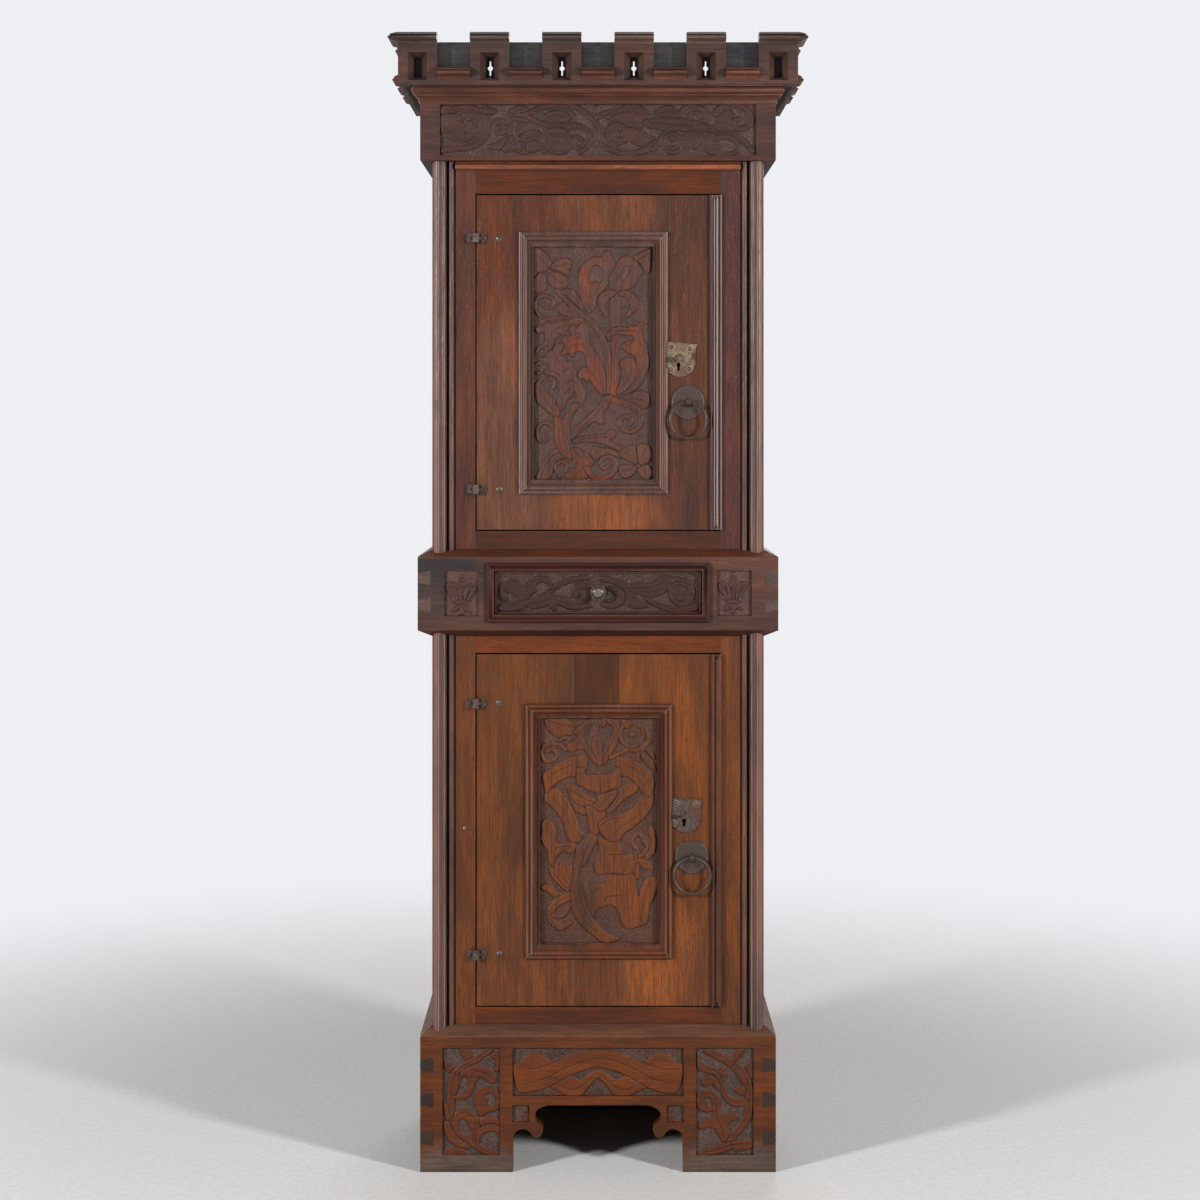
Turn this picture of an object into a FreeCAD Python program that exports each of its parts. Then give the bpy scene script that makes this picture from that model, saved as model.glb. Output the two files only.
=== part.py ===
import FreeCAD, Part
import math
import os

from FreeCAD import Vector

# A tall, narrow oak cabinet in the Gothic taste: a plinth with a cusped arch, a lower cupboard, a waist
# with one drawer, an upper cupboard, a carved frieze and a battlemented crown.
# Millimetres. The front faces -Y, +X is the viewer's right and +Z is up. The origin is on the floor, at
# the centre of the outer box. Both doors hang on the viewer's left.

# Heights of the stages, from the floor up
base_height = 239.0
base_shoulder_height = 17.0
lower_case_height = 688.5
waist_chamfer_height = 14.5
waist_height = 125.0
waist_shoulder_height = 14.0
upper_case_height = 688.0
frieze_height = 100.0
cornice_height = 31.5
parapet_height = 71.5
cap_height = 20.5

# Widths and depths. The cupboards are the body, and the other stages step out from it
body_width = 588.0
block_step = 20.0
waist_step = 24.0
parapet_side_overhang = 38.0
parapet_front_overhang = 14.0
cap_projection = 17.0
crown_depth = 384.0

# Board thicknesses
block_front_thick = 22.0
block_side_thick = 23.0
block_back_thick = 18.0
frame_thick = 22.0
case_side_thick = 18.0
case_board_thick = 18.0
back_board_thick = 12.0
roof_thick = 14.0
side_parapet_thick = 10.0
loophole_board_thick = 10.0

# Face frames of the cupboards
column_width = 41.0
column_radius = 13.0
column_bead_radius = 5.0
column_groove = 2.0
door_opening_width = 434.8
lower_bottom_rail = 30.2
lower_top_rail = 30.2
upper_bottom_rail = 33.0
upper_top_rail = 57.3
tenon_length = 22.0
tenon_thick = 8.0
tenon_shoulder = 6.0
frieze_bead_height = 15.0
frieze_bead_projection = 9.0

# Inside the cupboards
shelf_setback = 34.0
shelf_height_ratio = 0.5
bearer_size = 20.0
back_board_count = 4
corner_block_size = 42.0
corner_block_margin = 30.0
shoulder_frame_width = 46.0
shoulder_nosing = 2.5

# Dovetails that show as end grain on the front boards
pin_outer_height = 17.0
pin_inner_height = 27.0
base_pin_heights = [60.0, 127.5, 189.0]
waist_pin_heights = [42.0, 90.0]

# Plinth arch, its cusps and its sunk fields
foot_width = 164.0
arch_height = 117.9
arch_shoulder_drop = 58.9
cusp_width = 70.6
carving_depth = 5.0
base_field_margin = 39.5
base_field_top_margin = 20.0
base_side_field_width = 101.5
base_side_field_height = 189.0
base_centre_field_width = 302.0
base_centre_field_height = 85.0
spandrel_field_width = 29.0
spandrel_field_height = 30.0

# Waist drawer
drawer_opening_width = 367.2
drawer_opening_height = 77.6
drawer_opening_sill = 25.4
surround_width = 13.4
surround_projection = 6.0
drawer_recess = 6.0
drawer_front_gap = 1.2
drawer_front_thick = 20.0
drawer_front_border = 3.0
drawer_side_thick = 12.0
drawer_bottom_thick = 6.0
drawer_bottom_inset = 8.0
drawer_length = 300.0
drawer_side_drop = 6.0
knob_radius = 14.0
knob_projection = 22.0
knob_stem_radius = 4.5
knob_flat_count = 24
runner_height = 20.0
runner_bearing = 24.0
runner_guide_width = 18.0
runner_guide_gap = 1.5
seat_gap = 0.3
waist_field_margin = 47.0
waist_field_width = 61.0
waist_field_height = 80.0
waist_field_drop = 22.0

# Frieze field and cornice
frieze_field_width = 558.0
frieze_field_sill = 8.5
frieze_field_height = 90.0
cornice_fillet = 2.0

# Battlements
front_merlon_count = 6
side_crenel_count = 3
crenel_width = 57.8
crenel_depth = 41.0
loophole_width = 35.0
loophole_height = 49.0
loophole_slot_width = 10.0
loophole_slot_height = 30.0
loophole_rise = 32.5
keyhole_loop_radius = 4.8
keyhole_loop_slot_width = 2.8
keyhole_loop_slot_height = 26.5
loophole_board_rise = 7.0

# Doors
door_gap = 2.3
door_thick = 22.0
door_proud = 0.5
upper_door_seams = [51.0]
lower_door_seams = [-44.0, 38.0]
panel_moulding_width = 26.0
panel_moulding_overlap = 13.0
panel_setback = 3.0
# Left, right, bottom and top margins of the panel moulding on its door
upper_panel_margins = (74.9, 91.9, 62.9, 65.4)
lower_panel_margins = (85.9, 83.3, 83.5, 88.0)
upper_astragal_width = 22.5
lower_astragal_width = 19.5
astragal_overlap = 4.9
astragal_projection = 8.0
astragal_notch = 11.0
upper_reeds = (0.2, 0.3, 0.3, 0.2)
lower_reeds = (0.38, 0.62)

# Hinges: a fork on the frame, an eye on the door and a pin through both
hinge_axis_proud = 7.5
knuckle_radius = 6.5
hinge_leaf_setback = 1.8
knuckle_height = 5.0
knuckle_flat_count = 14
knuckle_gap = 0.3
hinge_pin_radius = 2.0
hinge_pin_clearance = 0.05
hinge_pin_head = 0.8
hinge_leaf_reach = 18.0
hinge_leaf_thick = 2.5
hinge_leaf_corner = 4.5
upper_hinge_insets = (73.6, 78.9)
lower_hinge_insets = (94.1, 88.7)

# Ring pulls: heights are above the door opening's lower edge
upper_pull = (159.7, 228.0)
lower_pull = (166.3, 267.0)
pull_plate_radius = 30.0
pull_plate_thick = 2.0
pull_plate_flat = 27.0
pull_plate_flat_count = 40
eye_radius = 6.2
eye_flat_count = 14
eye_width = 7.0
eye_neck_height = 8.0
ring_stand_off = 12.0
ring_radius = 32.0
ring_wire_radius = 2.9
ring_wire_flat_count = 8
ring_bend_count = 40
ring_clearance = 0.5

# Locks: keyholes are placed from the door opening's lower edge
upper_key = (142.8, 294.5)
lower_key = (152.6, 330.8)
escutcheon_radius = 26.9
escutcheon_offset = 3.3
escutcheon_round_rise = 5.7
escutcheon_thick = 2.0
escutcheon_top_left = (-20.4, 41.0)
escutcheon_top_right = (33.2, 36.5)
keyhole_radius = 4.0
keyhole_flat_count = 12
keyhole_slot_width = 4.4
keyhole_slot_length = 10.0
lock_case_back = 36.0
lock_case_height = 62.0
lock_case_depth = 14.0
lock_plate_thick = 2.0
bolt_height = 18.0
bolt_thick = 8.0
bolt_clearance = 0.4
bolt_tail = 20.0
bolt_setback = 0.5
talon_width = 9.0
talon_depth = 5.0
drill_pin_radius = 1.5

# Levels worked out from the heights
base_top = base_height
lower_bottom = base_top + base_shoulder_height
lower_top = lower_bottom + lower_case_height
waist_bottom = lower_top + waist_chamfer_height
waist_top = waist_bottom + waist_height
upper_bottom = waist_top + waist_shoulder_height
upper_top = upper_bottom + upper_case_height
cornice_bottom = upper_top + frieze_height
parapet_bottom = cornice_bottom + cornice_height
merlon_top = parapet_bottom + parapet_height
roof_top = parapet_bottom + roof_thick
crenel_floor = merlon_top - crenel_depth - cap_height
loophole_z = parapet_bottom + loophole_rise

# Planes worked out from the depths
back_y = (crown_depth + cap_projection) / 2
parapet_y = back_y - crown_depth
block_y = parapet_y + parapet_front_overhang
body_y = block_y + block_step
waist_y = body_y - waist_step
frame_back_y = body_y + frame_thick
door_y = body_y - door_proud
door_back_y = door_y + door_thick

# Half widths
body_half = body_width / 2
block_half = body_half + block_step
waist_half = body_half + waist_step
parapet_half = block_half + parapet_side_overhang
opening_half = door_opening_width / 2
drawer_opening_half = drawer_opening_width / 2
merlon_width = (2 * parapet_half - (front_merlon_count - 1) * crenel_width) / front_merlon_count
side_merlon_width = (crown_depth - merlon_width - side_crenel_count * crenel_width) / side_crenel_count

lower_opening = (lower_bottom + lower_bottom_rail, lower_top - lower_top_rail)
upper_opening = (upper_bottom + upper_bottom_rail, upper_top - upper_top_rail)
drawer_opening_bottom = waist_bottom + drawer_opening_sill
drawer_opening_top = drawer_opening_bottom + drawer_opening_height

nodes = {}


def box(x0, x1, y0, y1, z0, z1):
    return Part.makeBox(x1 - x0, y1 - y0, z1 - z0, Vector(x0, y0, z0))


def outline_face(outline, place):
    """A face from an outline. Its first item is a point, and each later one is a point at the end of a
    straight line, or a pair of points: one on an arc and the arc's end."""
    edges = []
    at = place(*outline[0])
    for step in outline[1:] + outline[:1]:
        if isinstance(step[0], tuple):
            end = place(*step[1])
            edges.append(Part.Arc(at, place(*step[0]), end).toShape())
        else:
            end = place(*step)
            if end.distanceToPoint(at) > 1e-6:
                edges.append(Part.LineSegment(at, end).toShape())
        at = end
    return Part.Face(Part.Wire(edges))


def run(outline, place, along):
    return outline_face(outline, place).extrude(along)


def front_prism(outline, y0, y1):
    """Extrudes an outline in X and Z from y0 to y1."""
    return run(outline, lambda x, z: Vector(x, y0, z), Vector(0, y1 - y0, 0))


def plan_prism(outline, z0, z1):
    """Extrudes an outline in X and Y from z0 to z1."""
    return run(outline, lambda x, y: Vector(x, y, z0), Vector(0, 0, z1 - z0))


def mirrored(shape):
    return shape.mirror(Vector(0, 0, 0), Vector(1, 0, 0))


def both_sides(shape):
    return [shape, mirrored(shape)]


def rod(start, direction, radius, length):
    return Part.makeCylinder(radius, length, start, direction)


def ring_of_points(centre, axis, radius, sides):
    """Corners of a regular polygon round an axis that runs along X, Y or Z."""
    across = Vector(0, 0, 1) if abs(axis.z) < 0.5 else Vector(1, 0, 0)
    up = axis.cross(across)
    turns = [2 * math.pi * (i + 0.5) / sides for i in range(sides)]
    return [centre + across * (radius * math.cos(a)) + up * (radius * math.sin(a)) for a in turns]


def forged_rod(start, axis, radius, length, sides):
    """A bar or plate that is hammered or filed to shape, so it has flats. radius is to its corners."""
    corners = ring_of_points(start, axis, radius, sides)
    return Part.Face(Part.makePolygon(corners + corners[:1])).extrude(axis * length)


def faceted_solid(rings):
    """A solid with flats that joins regular polygons of equal count, from its first end to its last."""
    outlines = [rings[0], rings[-1]]
    for near, far in zip(rings, rings[1:]):
        for i in range(len(near)):
            outlines.append([near[i - 1], near[i], far[i], far[i - 1]])
    faces = [Part.Face(Part.makePolygon(outline + outline[:1])) for outline in outlines]
    solid = Part.makeSolid(Part.makeShell(faces))
    if solid.Volume < 0:
        solid.reverse()
    return solid


def add(name, *shapes):
    """Adds solids to a node. Both cupboards add to the nodes that they share."""
    for shape in shapes:
        nodes.setdefault(name, []).extend(shape.Solids)


# Stages of the case


def block_sides(half, front_y, z0, z1, pin_heights):
    """The two side boards of a stage, with dovetail pins that pass through its front board."""
    left = box(-half, -half + block_side_thick, front_y + block_front_thick, back_y, z0, z1)
    for height in pin_heights:
        middle = z0 + height
        pin = front_prism([
            (-half, middle - pin_outer_height / 2),
            (-half + block_side_thick, middle - pin_inner_height / 2),
            (-half + block_side_thick, middle + pin_inner_height / 2),
            (-half, middle + pin_outer_height / 2),
        ], front_y, front_y + block_front_thick)
        left = left.fuse(pin)
    return both_sides(left.removeSplitter())


def block_back(half, z0, z1):
    inner = half - block_side_thick
    return box(-inner, inner, back_y - block_back_thick, back_y, z0, z1)


def sunk_field(x0, x1, front_y, z0, z1):
    return box(x0, x1, front_y, front_y + carving_depth, z0, z1)


def arch_cut():
    """The arch in the plinth: cusps curl in from both feet under a flat head."""
    foot = block_half - foot_width

    def point(inward, down):
        return (foot - inward * cusp_width, arch_height - down * arch_shoulder_drop)

    right = [
        (point(0.234, 0.72), point(0.475, 0.908)),
        (point(0.612, 0.971), point(0.729, 0.83)),
        (point(0.748, 0.669), point(0.666, 0.542)),
        (point(0.55, 0.338), point(0.652, 0.109)),
        (point(0.793, 0.027), point(1.0, 0.0)),
    ]
    start = (foot, arch_height - arch_shoulder_drop)
    points = [start]
    points += right
    flat_end = right[-1][1]
    points.append((-flat_end[0], flat_end[1]))
    ends = [start] + [step[1] for step in right]
    for step, end in zip(reversed(right), reversed(ends[:-1])):
        points.append(((-step[0][0], step[0][1]), (-end[0], end[1])))
    points.append((-foot, 0.0))
    points.append((foot, 0.0))
    return front_prism(points, block_y, block_y + block_front_thick)


def shoulder_frame(half, front_y, z0, height, step, hangs=False):
    """A mitred frame with a bevelled outer edge between two stages. hangs turns the bevel down."""
    section = [(0, 0), (0, shoulder_nosing), (step, height), (shoulder_frame_width, height),
               (shoulder_frame_width, 0)]
    if hangs:
        section = [(u, height - v) for u, v in section]
    inner = half - shoulder_frame_width
    inner_y = front_y + shoulder_frame_width
    front = run(section, lambda u, v: Vector(-half, front_y + u, z0 + v), Vector(2 * half, 0, 0))
    front = front.common(plan_prism(
        [(-half, front_y), (half, front_y), (inner, inner_y), (-inner, inner_y)], z0, z0 + height))
    side = run(section, lambda u, v: Vector(-half + u, front_y, z0 + v), Vector(0, back_y - front_y, 0))
    side = side.common(plan_prism(
        [(-half, front_y), (-inner, inner_y), (-inner, back_y), (-half, back_y)], z0, z0 + height))
    back = box(-inner, inner, back_y - shoulder_frame_width, back_y, z0, z0 + height)
    return [front] + both_sides(side) + [back]


def make_base():
    sides = block_sides(block_half, block_y, 0, base_top, base_pin_heights)
    front = box(-block_half, block_half, block_y, block_y + block_front_thick, 0, base_top)
    field_top = base_top - base_field_top_margin
    field_end = block_half - base_field_margin
    cuts = [arch_cut()]
    cuts += both_sides(sunk_field(-field_end, -field_end + base_side_field_width, block_y,
                                  field_top - base_side_field_height, field_top))
    cuts.append(sunk_field(-base_centre_field_width / 2, base_centre_field_width / 2, block_y,
                           field_top - base_centre_field_height, field_top))
    cuts += both_sides(sunk_field(-base_centre_field_width / 2,
                                  -base_centre_field_width / 2 + spandrel_field_width, block_y,
                                  arch_height - spandrel_field_height, arch_height))
    add("base_front", front.cut(cuts + sides))
    add("base_sides", *sides)
    inner = block_half - block_side_thick
    inner_front = block_y + block_front_thick
    inner_back = back_y - block_back_thick
    blocks = []
    for y0 in (inner_front, inner_back - corner_block_size):
        block = box(-inner, -inner + corner_block_size, y0, y0 + corner_block_size,
                    corner_block_margin, base_top)
        blocks += both_sides(block)
    add("base_corner_blocks", *blocks)


def cut_drawer_field(front):
    field_end = waist_half - waist_field_margin
    field_top = waist_top - waist_field_drop
    fields = both_sides(sunk_field(-field_end, -field_end + waist_field_width, waist_y,
                                   field_top - waist_field_height, field_top))
    return front.cut(fields)


def make_waist():
    sides = block_sides(waist_half, waist_y, waist_bottom, waist_top, waist_pin_heights)
    front = box(-waist_half, waist_half, waist_y, waist_y + block_front_thick, waist_bottom, waist_top)
    opening = box(-drawer_opening_half, drawer_opening_half, waist_y, waist_y + block_front_thick,
                  drawer_opening_bottom, drawer_opening_top)
    add("waist_front", cut_drawer_field(front.cut([opening] + sides)))
    add("waist_sides", *sides)
    # The drawer slides on an L-shaped runner at each side, whose upright keeps it straight.
    drawer_half = drawer_opening_half - drawer_front_gap
    top = drawer_opening_bottom + drawer_front_gap - seat_gap
    guide = -drawer_half - runner_guide_gap
    section = [
        (guide - runner_guide_width, top - runner_height),
        (-drawer_half + runner_bearing, top - runner_height),
        (-drawer_half + runner_bearing, top),
        (guide, top),
        (guide, top + runner_height),
        (guide - runner_guide_width, top + runner_height),
    ]
    runner = front_prism(section, waist_y + block_front_thick, back_y - block_back_thick)
    add("drawer_runners", *both_sides(runner))


def picture_frame(x0, x1, z0, z1, width, section, face_y):
    """Four mitred strips round a rectangle. The section's u runs inwards and its v towards the viewer."""
    strips = []
    for low, sign in ((z0, 1), (z1, -1)):
        strip = run(section, lambda u, v: Vector(x0, face_y - v, low + sign * u), Vector(x1 - x0, 0, 0))
        strips.append((strip, [(x0, low), (x1, low), (x1 - width, low + sign * width),
                               (x0 + width, low + sign * width)]))
    for edge, sign in ((x0, 1), (x1, -1)):
        strip = run(section, lambda u, v: Vector(edge + sign * u, face_y - v, z0), Vector(0, 0, z1 - z0))
        strips.append((strip, [(edge, z0), (edge, z1), (edge + sign * width, z1 - width),
                               (edge + sign * width, z0 + width)]))
    deep = 4 * width
    return [strip.common(front_prism(plan, face_y - deep, face_y + deep)) for strip, plan in strips]


def make_drawer():
    half = drawer_opening_half - drawer_front_gap
    z0 = drawer_opening_bottom + drawer_front_gap
    z1 = drawer_opening_top - drawer_front_gap
    face_y = waist_y + drawer_recess
    inner_y = face_y + drawer_front_thick
    end_y = inner_y + drawer_length
    border = drawer_front_border
    front = box(-half, half, face_y, inner_y, z0, z1)
    front = front.cut(sunk_field(-half + border, half - border, face_y, z0 + border, z1 - border))
    side_top = z1 - drawer_side_drop
    side = box(-half, -half + drawer_side_thick, inner_y, end_y, z0, side_top)
    back = box(-half + drawer_side_thick, half - drawer_side_thick, end_y - drawer_side_thick, end_y,
               z0, side_top)
    groove = drawer_side_thick / 2
    bottom = box(-half + groove, half - groove, inner_y - groove, end_y,
                 z0 + drawer_bottom_inset, z0 + drawer_bottom_inset + drawer_bottom_thick)
    add("drawer_front", front.cut(bottom))
    add("drawer_sides", *[shape.cut(bottom) for shape in both_sides(side)])
    back = back.cut(box(-half, half, end_y - drawer_side_thick, end_y, z0,
                        z0 + drawer_bottom_inset + drawer_bottom_thick))
    add("drawer_back", back)
    add("drawer_bottom", bottom)
    ground_y = face_y + carving_depth
    tip = knob_projection
    neck = 0.45 * knob_projection
    stem = knob_stem_radius
    profile = [
        (stem * 1.7, 0), (stem, neck * 0.35), (stem, neck * 0.8), (knob_radius * 0.86, neck),
        (knob_radius, (neck + tip) * 0.5), (knob_radius * 0.84, tip * 0.84), (knob_radius * 0.4, tip),
    ]
    out = Vector(0, -1, 0)
    base = Vector(0, ground_y, (drawer_opening_bottom + drawer_opening_top) / 2)
    rings = [ring_of_points(base + out * reach, out, radius, knob_flat_count) for radius, reach in profile]
    add("drawer_knob", faceted_solid(rings))


def make_drawer_surround():
    w = surround_width
    out = surround_projection
    section = [(0, 0), (0, out * 0.5), ((w * 0.25, out), (w * 0.5, out * 0.6)),
               ((w * 0.68, out * 0.3), (w * 0.85, out * 0.2)), (w, out * 0.2), (w, 0)]
    strips = picture_frame(-drawer_opening_half - w, drawer_opening_half + w, drawer_opening_bottom - w,
                           drawer_opening_top + w, w, section, waist_y)
    add("drawer_surround", *strips)


def column(z0, z1):
    """The corner column of a cupboard: a large round, a bead and two quirks on one square post."""
    r = column_radius
    bead = column_bead_radius
    bead_start = 2 * r + 1.5 * column_groove
    section = [
        (0, frame_thick), (0, 0), ((r, -r), (2 * r, 0)), (2 * r + 0.7 * column_groove, column_groove),
        (bead_start, 0), ((bead_start + bead, -bead), (bead_start + 2 * bead, 0)),
        (bead_start + 2 * bead, column_groove), (column_width, column_groove), (column_width, frame_thick),
    ]
    return run(section, lambda u, v: Vector(-body_half + u, body_y + v, z0), Vector(0, 0, z1 - z0))


def make_columns(lower_blocks, middle_blocks, top_blocks):
    lower = column(base_top, waist_bottom).cut(lower_blocks + middle_blocks)
    upper = column(waist_top, upper_top).cut(top_blocks)
    add("corner_columns", *(both_sides(lower) + both_sides(upper)))


def make_cupboard(prefix, z0, z1, opening):
    """The fixed boards of one cupboard. Its rails are tenoned into its stiles."""
    sides = both_sides(box(-body_half, -body_half + case_side_thick, frame_back_y, back_y, z0, z1))
    add(prefix + "_case_sides", *sides)
    stile_outer = body_half - column_width
    tenon_y = body_y + (frame_thick - tenon_thick) / 2
    stiles = both_sides(box(-stile_outer, -opening_half, body_y, frame_back_y, z0, z1))
    rails = []
    tenons = []
    for low, high in ((z0, opening[0]), (opening[1], z1)):
        reach = opening_half + tenon_length
        tenon = box(-reach, reach, tenon_y, tenon_y + tenon_thick, low + tenon_shoulder, high - tenon_shoulder)
        tenons.append(tenon)
        rail = box(-opening_half, opening_half, body_y, frame_back_y, low, high)
        rails.append(rail.fuse(tenon).removeSplitter())
    add(prefix + "_stiles", *[stile.cut(tenons) for stile in stiles])
    add(prefix + "_rails", *rails)
    inner = body_half - case_side_thick
    inner_back = back_y - back_board_thick
    floor = box(-inner, inner, frame_back_y, inner_back, z0, z0 + case_board_thick)
    ceiling = box(-inner, inner, frame_back_y, inner_back, z1 - case_board_thick, z1)
    shelf_z = z0 + (z1 - z0) * shelf_height_ratio
    shelf_y = frame_back_y + shelf_setback
    shelf = box(-inner, inner, shelf_y, inner_back, shelf_z, shelf_z + case_board_thick)
    bearer = box(-inner, -inner + bearer_size, shelf_y, inner_back, shelf_z - bearer_size, shelf_z)
    board_width = 2 * inner / back_board_count
    planks = []
    for i in range(back_board_count):
        x = -inner + i * board_width
        planks.append(box(x, x + board_width, inner_back, back_y, z0, z1))
    add(prefix + "_back", *planks)
    add("floors_and_ceilings", floor, ceiling)
    add("shelves", shelf)
    add("shelf_bearers", *both_sides(bearer))


# Crown


def make_frieze():
    sides = block_sides(block_half, block_y, upper_top, parapet_bottom, [])
    front = box(-block_half, block_half, block_y, block_y + block_front_thick, upper_top, parapet_bottom)
    field_bottom = upper_top + frieze_field_sill
    front = front.cut(sunk_field(-frieze_field_width / 2, frieze_field_width / 2, block_y,
                                 field_bottom, field_bottom + frieze_field_height))
    add("frieze_front", front)
    add("frieze_sides", *sides)
    half = body_half - column_width
    out = frieze_bead_projection
    tall = frieze_bead_height
    section = [(0, 0), (out * 0.35, 0), ((out, tall * 0.42), (out * 0.45, tall * 0.8)),
               (out * 0.45, tall), (0, tall)]
    bead = run(section, lambda u, v: Vector(-half, body_y - u, upper_top - tall + v), Vector(2 * half, 0, 0))
    add("frieze_bead", bead)


def make_cornice():
    """The moulding under the parapet, with a short mitred return on each end of the frieze board."""
    out = parapet_front_overhang
    tall = cornice_height
    fillet = cornice_fillet
    section = [
        (0, 0), (fillet, 0), (fillet, fillet),
        ((out * 0.3, tall * 0.28), (out * 0.6, tall * 0.42)),
        (out * 0.68, tall * 0.42), (out * 0.68, tall * 0.49),
        ((out, tall * 0.7), (out * 0.72, tall - fillet)), (out * 0.72, tall), (0, tall),
    ]
    front_y = block_y - out
    left_x = -block_half - out
    end_y = block_y + block_front_thick
    front = run(section, lambda u, v: Vector(left_x, block_y - u, cornice_bottom + v),
                Vector(-2 * left_x, 0, 0))
    front = front.common(plan_prism(
        [(left_x, front_y), (-left_x, front_y), (block_half, block_y), (-block_half, block_y)],
        cornice_bottom, parapet_bottom))
    side = run(section, lambda u, v: Vector(-block_half - u, front_y, cornice_bottom + v),
               Vector(0, end_y - front_y, 0))
    side = side.common(plan_prism(
        [(left_x, front_y), (-block_half, block_y), (-block_half, end_y), (left_x, end_y)],
        cornice_bottom, parapet_bottom))
    add("cornice_moulding", front, *both_sides(side))


def crenel_starts(start, first_merlon, merlon, count):
    return [start + first_merlon + i * (crenel_width + merlon) for i in range(count)]


def splay(middle_x, front_y, back_end_y):
    """The splayed loophole: a large rectangle in the front face that narrows to a slot. Two wedges,
    one seen from above and one from the side, meet in it."""
    in_plan = plan_prism([
        (middle_x - loophole_width / 2, front_y), (middle_x + loophole_width / 2, front_y),
        (middle_x + loophole_slot_width / 2, back_end_y), (middle_x - loophole_slot_width / 2, back_end_y),
    ], parapet_bottom, merlon_top)
    from_side = run([
        (front_y, loophole_z - loophole_height / 2), (front_y, loophole_z + loophole_height / 2),
        (back_end_y, loophole_z + loophole_slot_height / 2),
        (back_end_y, loophole_z - loophole_slot_height / 2),
    ], lambda y, z: Vector(middle_x - loophole_width, y, z), Vector(2 * loophole_width, 0, 0))
    return in_plan.common(from_side)


def cap_section(inner_depth):
    """A coping: cove, torus, quirk and steep weathering. u is out from the wall face, and v is up."""
    out = cap_projection
    tall = cap_height
    cove = [(out * 0.1, tall * 0.15), (out * 0.3, tall * 0.26), (out * 0.62, tall * 0.3)]
    torus = [(out * 0.88, tall * 0.35), (out, tall * 0.48), (out * 0.88, tall * 0.61),
             (out * 0.64, tall * 0.66)]
    weathering = [(out * 0.58, tall * 0.7), (out * 0.84, tall * 0.74), (out * 0.2, tall)]
    return [(-inner_depth, 0), (0, 0)] + cove + torus + weathering + [(-inner_depth, tall)]


def front_coping(x0, x1, z):
    return run(cap_section(block_front_thick), lambda u, v: Vector(x0, parapet_y - u, z + v),
               Vector(x1 - x0, 0, 0))


def side_coping(y0, y1, z):
    return run(cap_section(side_parapet_thick), lambda u, v: Vector(-parapet_half - u, y0, z + v),
               Vector(0, y1 - y0, 0))


def corner_coping(inner_x, end_y, z):
    """The cap of a corner merlon, in two pieces that meet on a mitre."""
    out = cap_projection
    wall_back = parapet_y + block_front_thick
    front = front_coping(-parapet_half - out, inner_x, z).common(plan_prism([
        (-parapet_half - out, parapet_y - out), (inner_x, parapet_y - out), (inner_x, wall_back),
        (-parapet_half, wall_back), (-parapet_half, parapet_y)], z, z + cap_height))
    side = side_coping(parapet_y - out, end_y, z).common(plan_prism([
        (-parapet_half - out, parapet_y - out), (-parapet_half, parapet_y), (-parapet_half, wall_back),
        (-parapet_half + side_parapet_thick, wall_back), (-parapet_half + side_parapet_thick, end_y),
        (-parapet_half - out, end_y)], z, z + cap_height))
    return [front, side]


def make_parapets():
    wall_back = parapet_y + block_front_thick
    front = box(-parapet_half, parapet_half, parapet_y, wall_back, parapet_bottom, merlon_top)
    starts = crenel_starts(-parapet_half, merlon_width, merlon_width, front_merlon_count - 1)
    cuts = [box(x, x + crenel_width, parapet_y, wall_back, crenel_floor, merlon_top) for x in starts]
    middles = [-parapet_half + merlon_width / 2 + i * (merlon_width + crenel_width)
               for i in range(front_merlon_count)]
    cuts += [splay(x, parapet_y, wall_back) for x in middles]
    add("parapet_front", front.cut(cuts))
    side = box(-parapet_half, -parapet_half + side_parapet_thick, wall_back, back_y,
               parapet_bottom, merlon_top)
    side_starts = crenel_starts(parapet_y, merlon_width, side_merlon_width, side_crenel_count)
    side_cuts = [box(-parapet_half, -parapet_half + side_parapet_thick, y, y + crenel_width,
                     crenel_floor, merlon_top) for y in side_starts]
    add("parapet_sides", *both_sides(side.cut(side_cuts)))

    caps = [front_coping(x + crenel_width, x + crenel_width + merlon_width, merlon_top)
            for x in starts[:-1]]
    for piece in corner_coping(starts[0], side_starts[0], merlon_top):
        caps += both_sides(piece)
    for y in side_starts:
        caps += both_sides(side_coping(y + crenel_width, y + crenel_width + side_merlon_width, merlon_top))
    add("merlon_caps", *caps)
    sills = [front_coping(x, x + crenel_width, crenel_floor) for x in starts]
    for y in side_starts:
        sills += both_sides(side_coping(y, y + crenel_width, crenel_floor))
    add("crenel_sills", *sills)

    inner = parapet_half - side_parapet_thick
    add("roof_board", box(-inner, inner, wall_back, back_y, parapet_bottom, roof_top))
    board = box(-inner, inner, wall_back, wall_back + loophole_board_thick, roof_top,
                merlon_top + loophole_board_rise)
    # The board is whole behind the two corner loopholes
    loops = []
    for x in middles[1:-1]:
        loops.append(forged_rod(Vector(x, wall_back, loophole_z), Vector(0, 1, 0), keyhole_loop_radius,
                                loophole_board_thick, keyhole_flat_count))
        loops.append(box(x - keyhole_loop_slot_width / 2, x + keyhole_loop_slot_width / 2, wall_back,
                         wall_back + loophole_board_thick, loophole_z - keyhole_loop_slot_height / 2,
                         loophole_z + keyhole_loop_slot_height / 2))
    add("loophole_board", board.cut(loops))


# Doors and their ironwork


def keyhole(x, z, y0, y1):
    hole = forged_rod(Vector(x, y0, z), Vector(0, 1, 0), keyhole_radius, y1 - y0, keyhole_flat_count)
    slot = box(x - keyhole_slot_width / 2, x + keyhole_slot_width / 2, y0, y1, z - keyhole_slot_length, z)
    return hole.fuse(slot)


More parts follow.
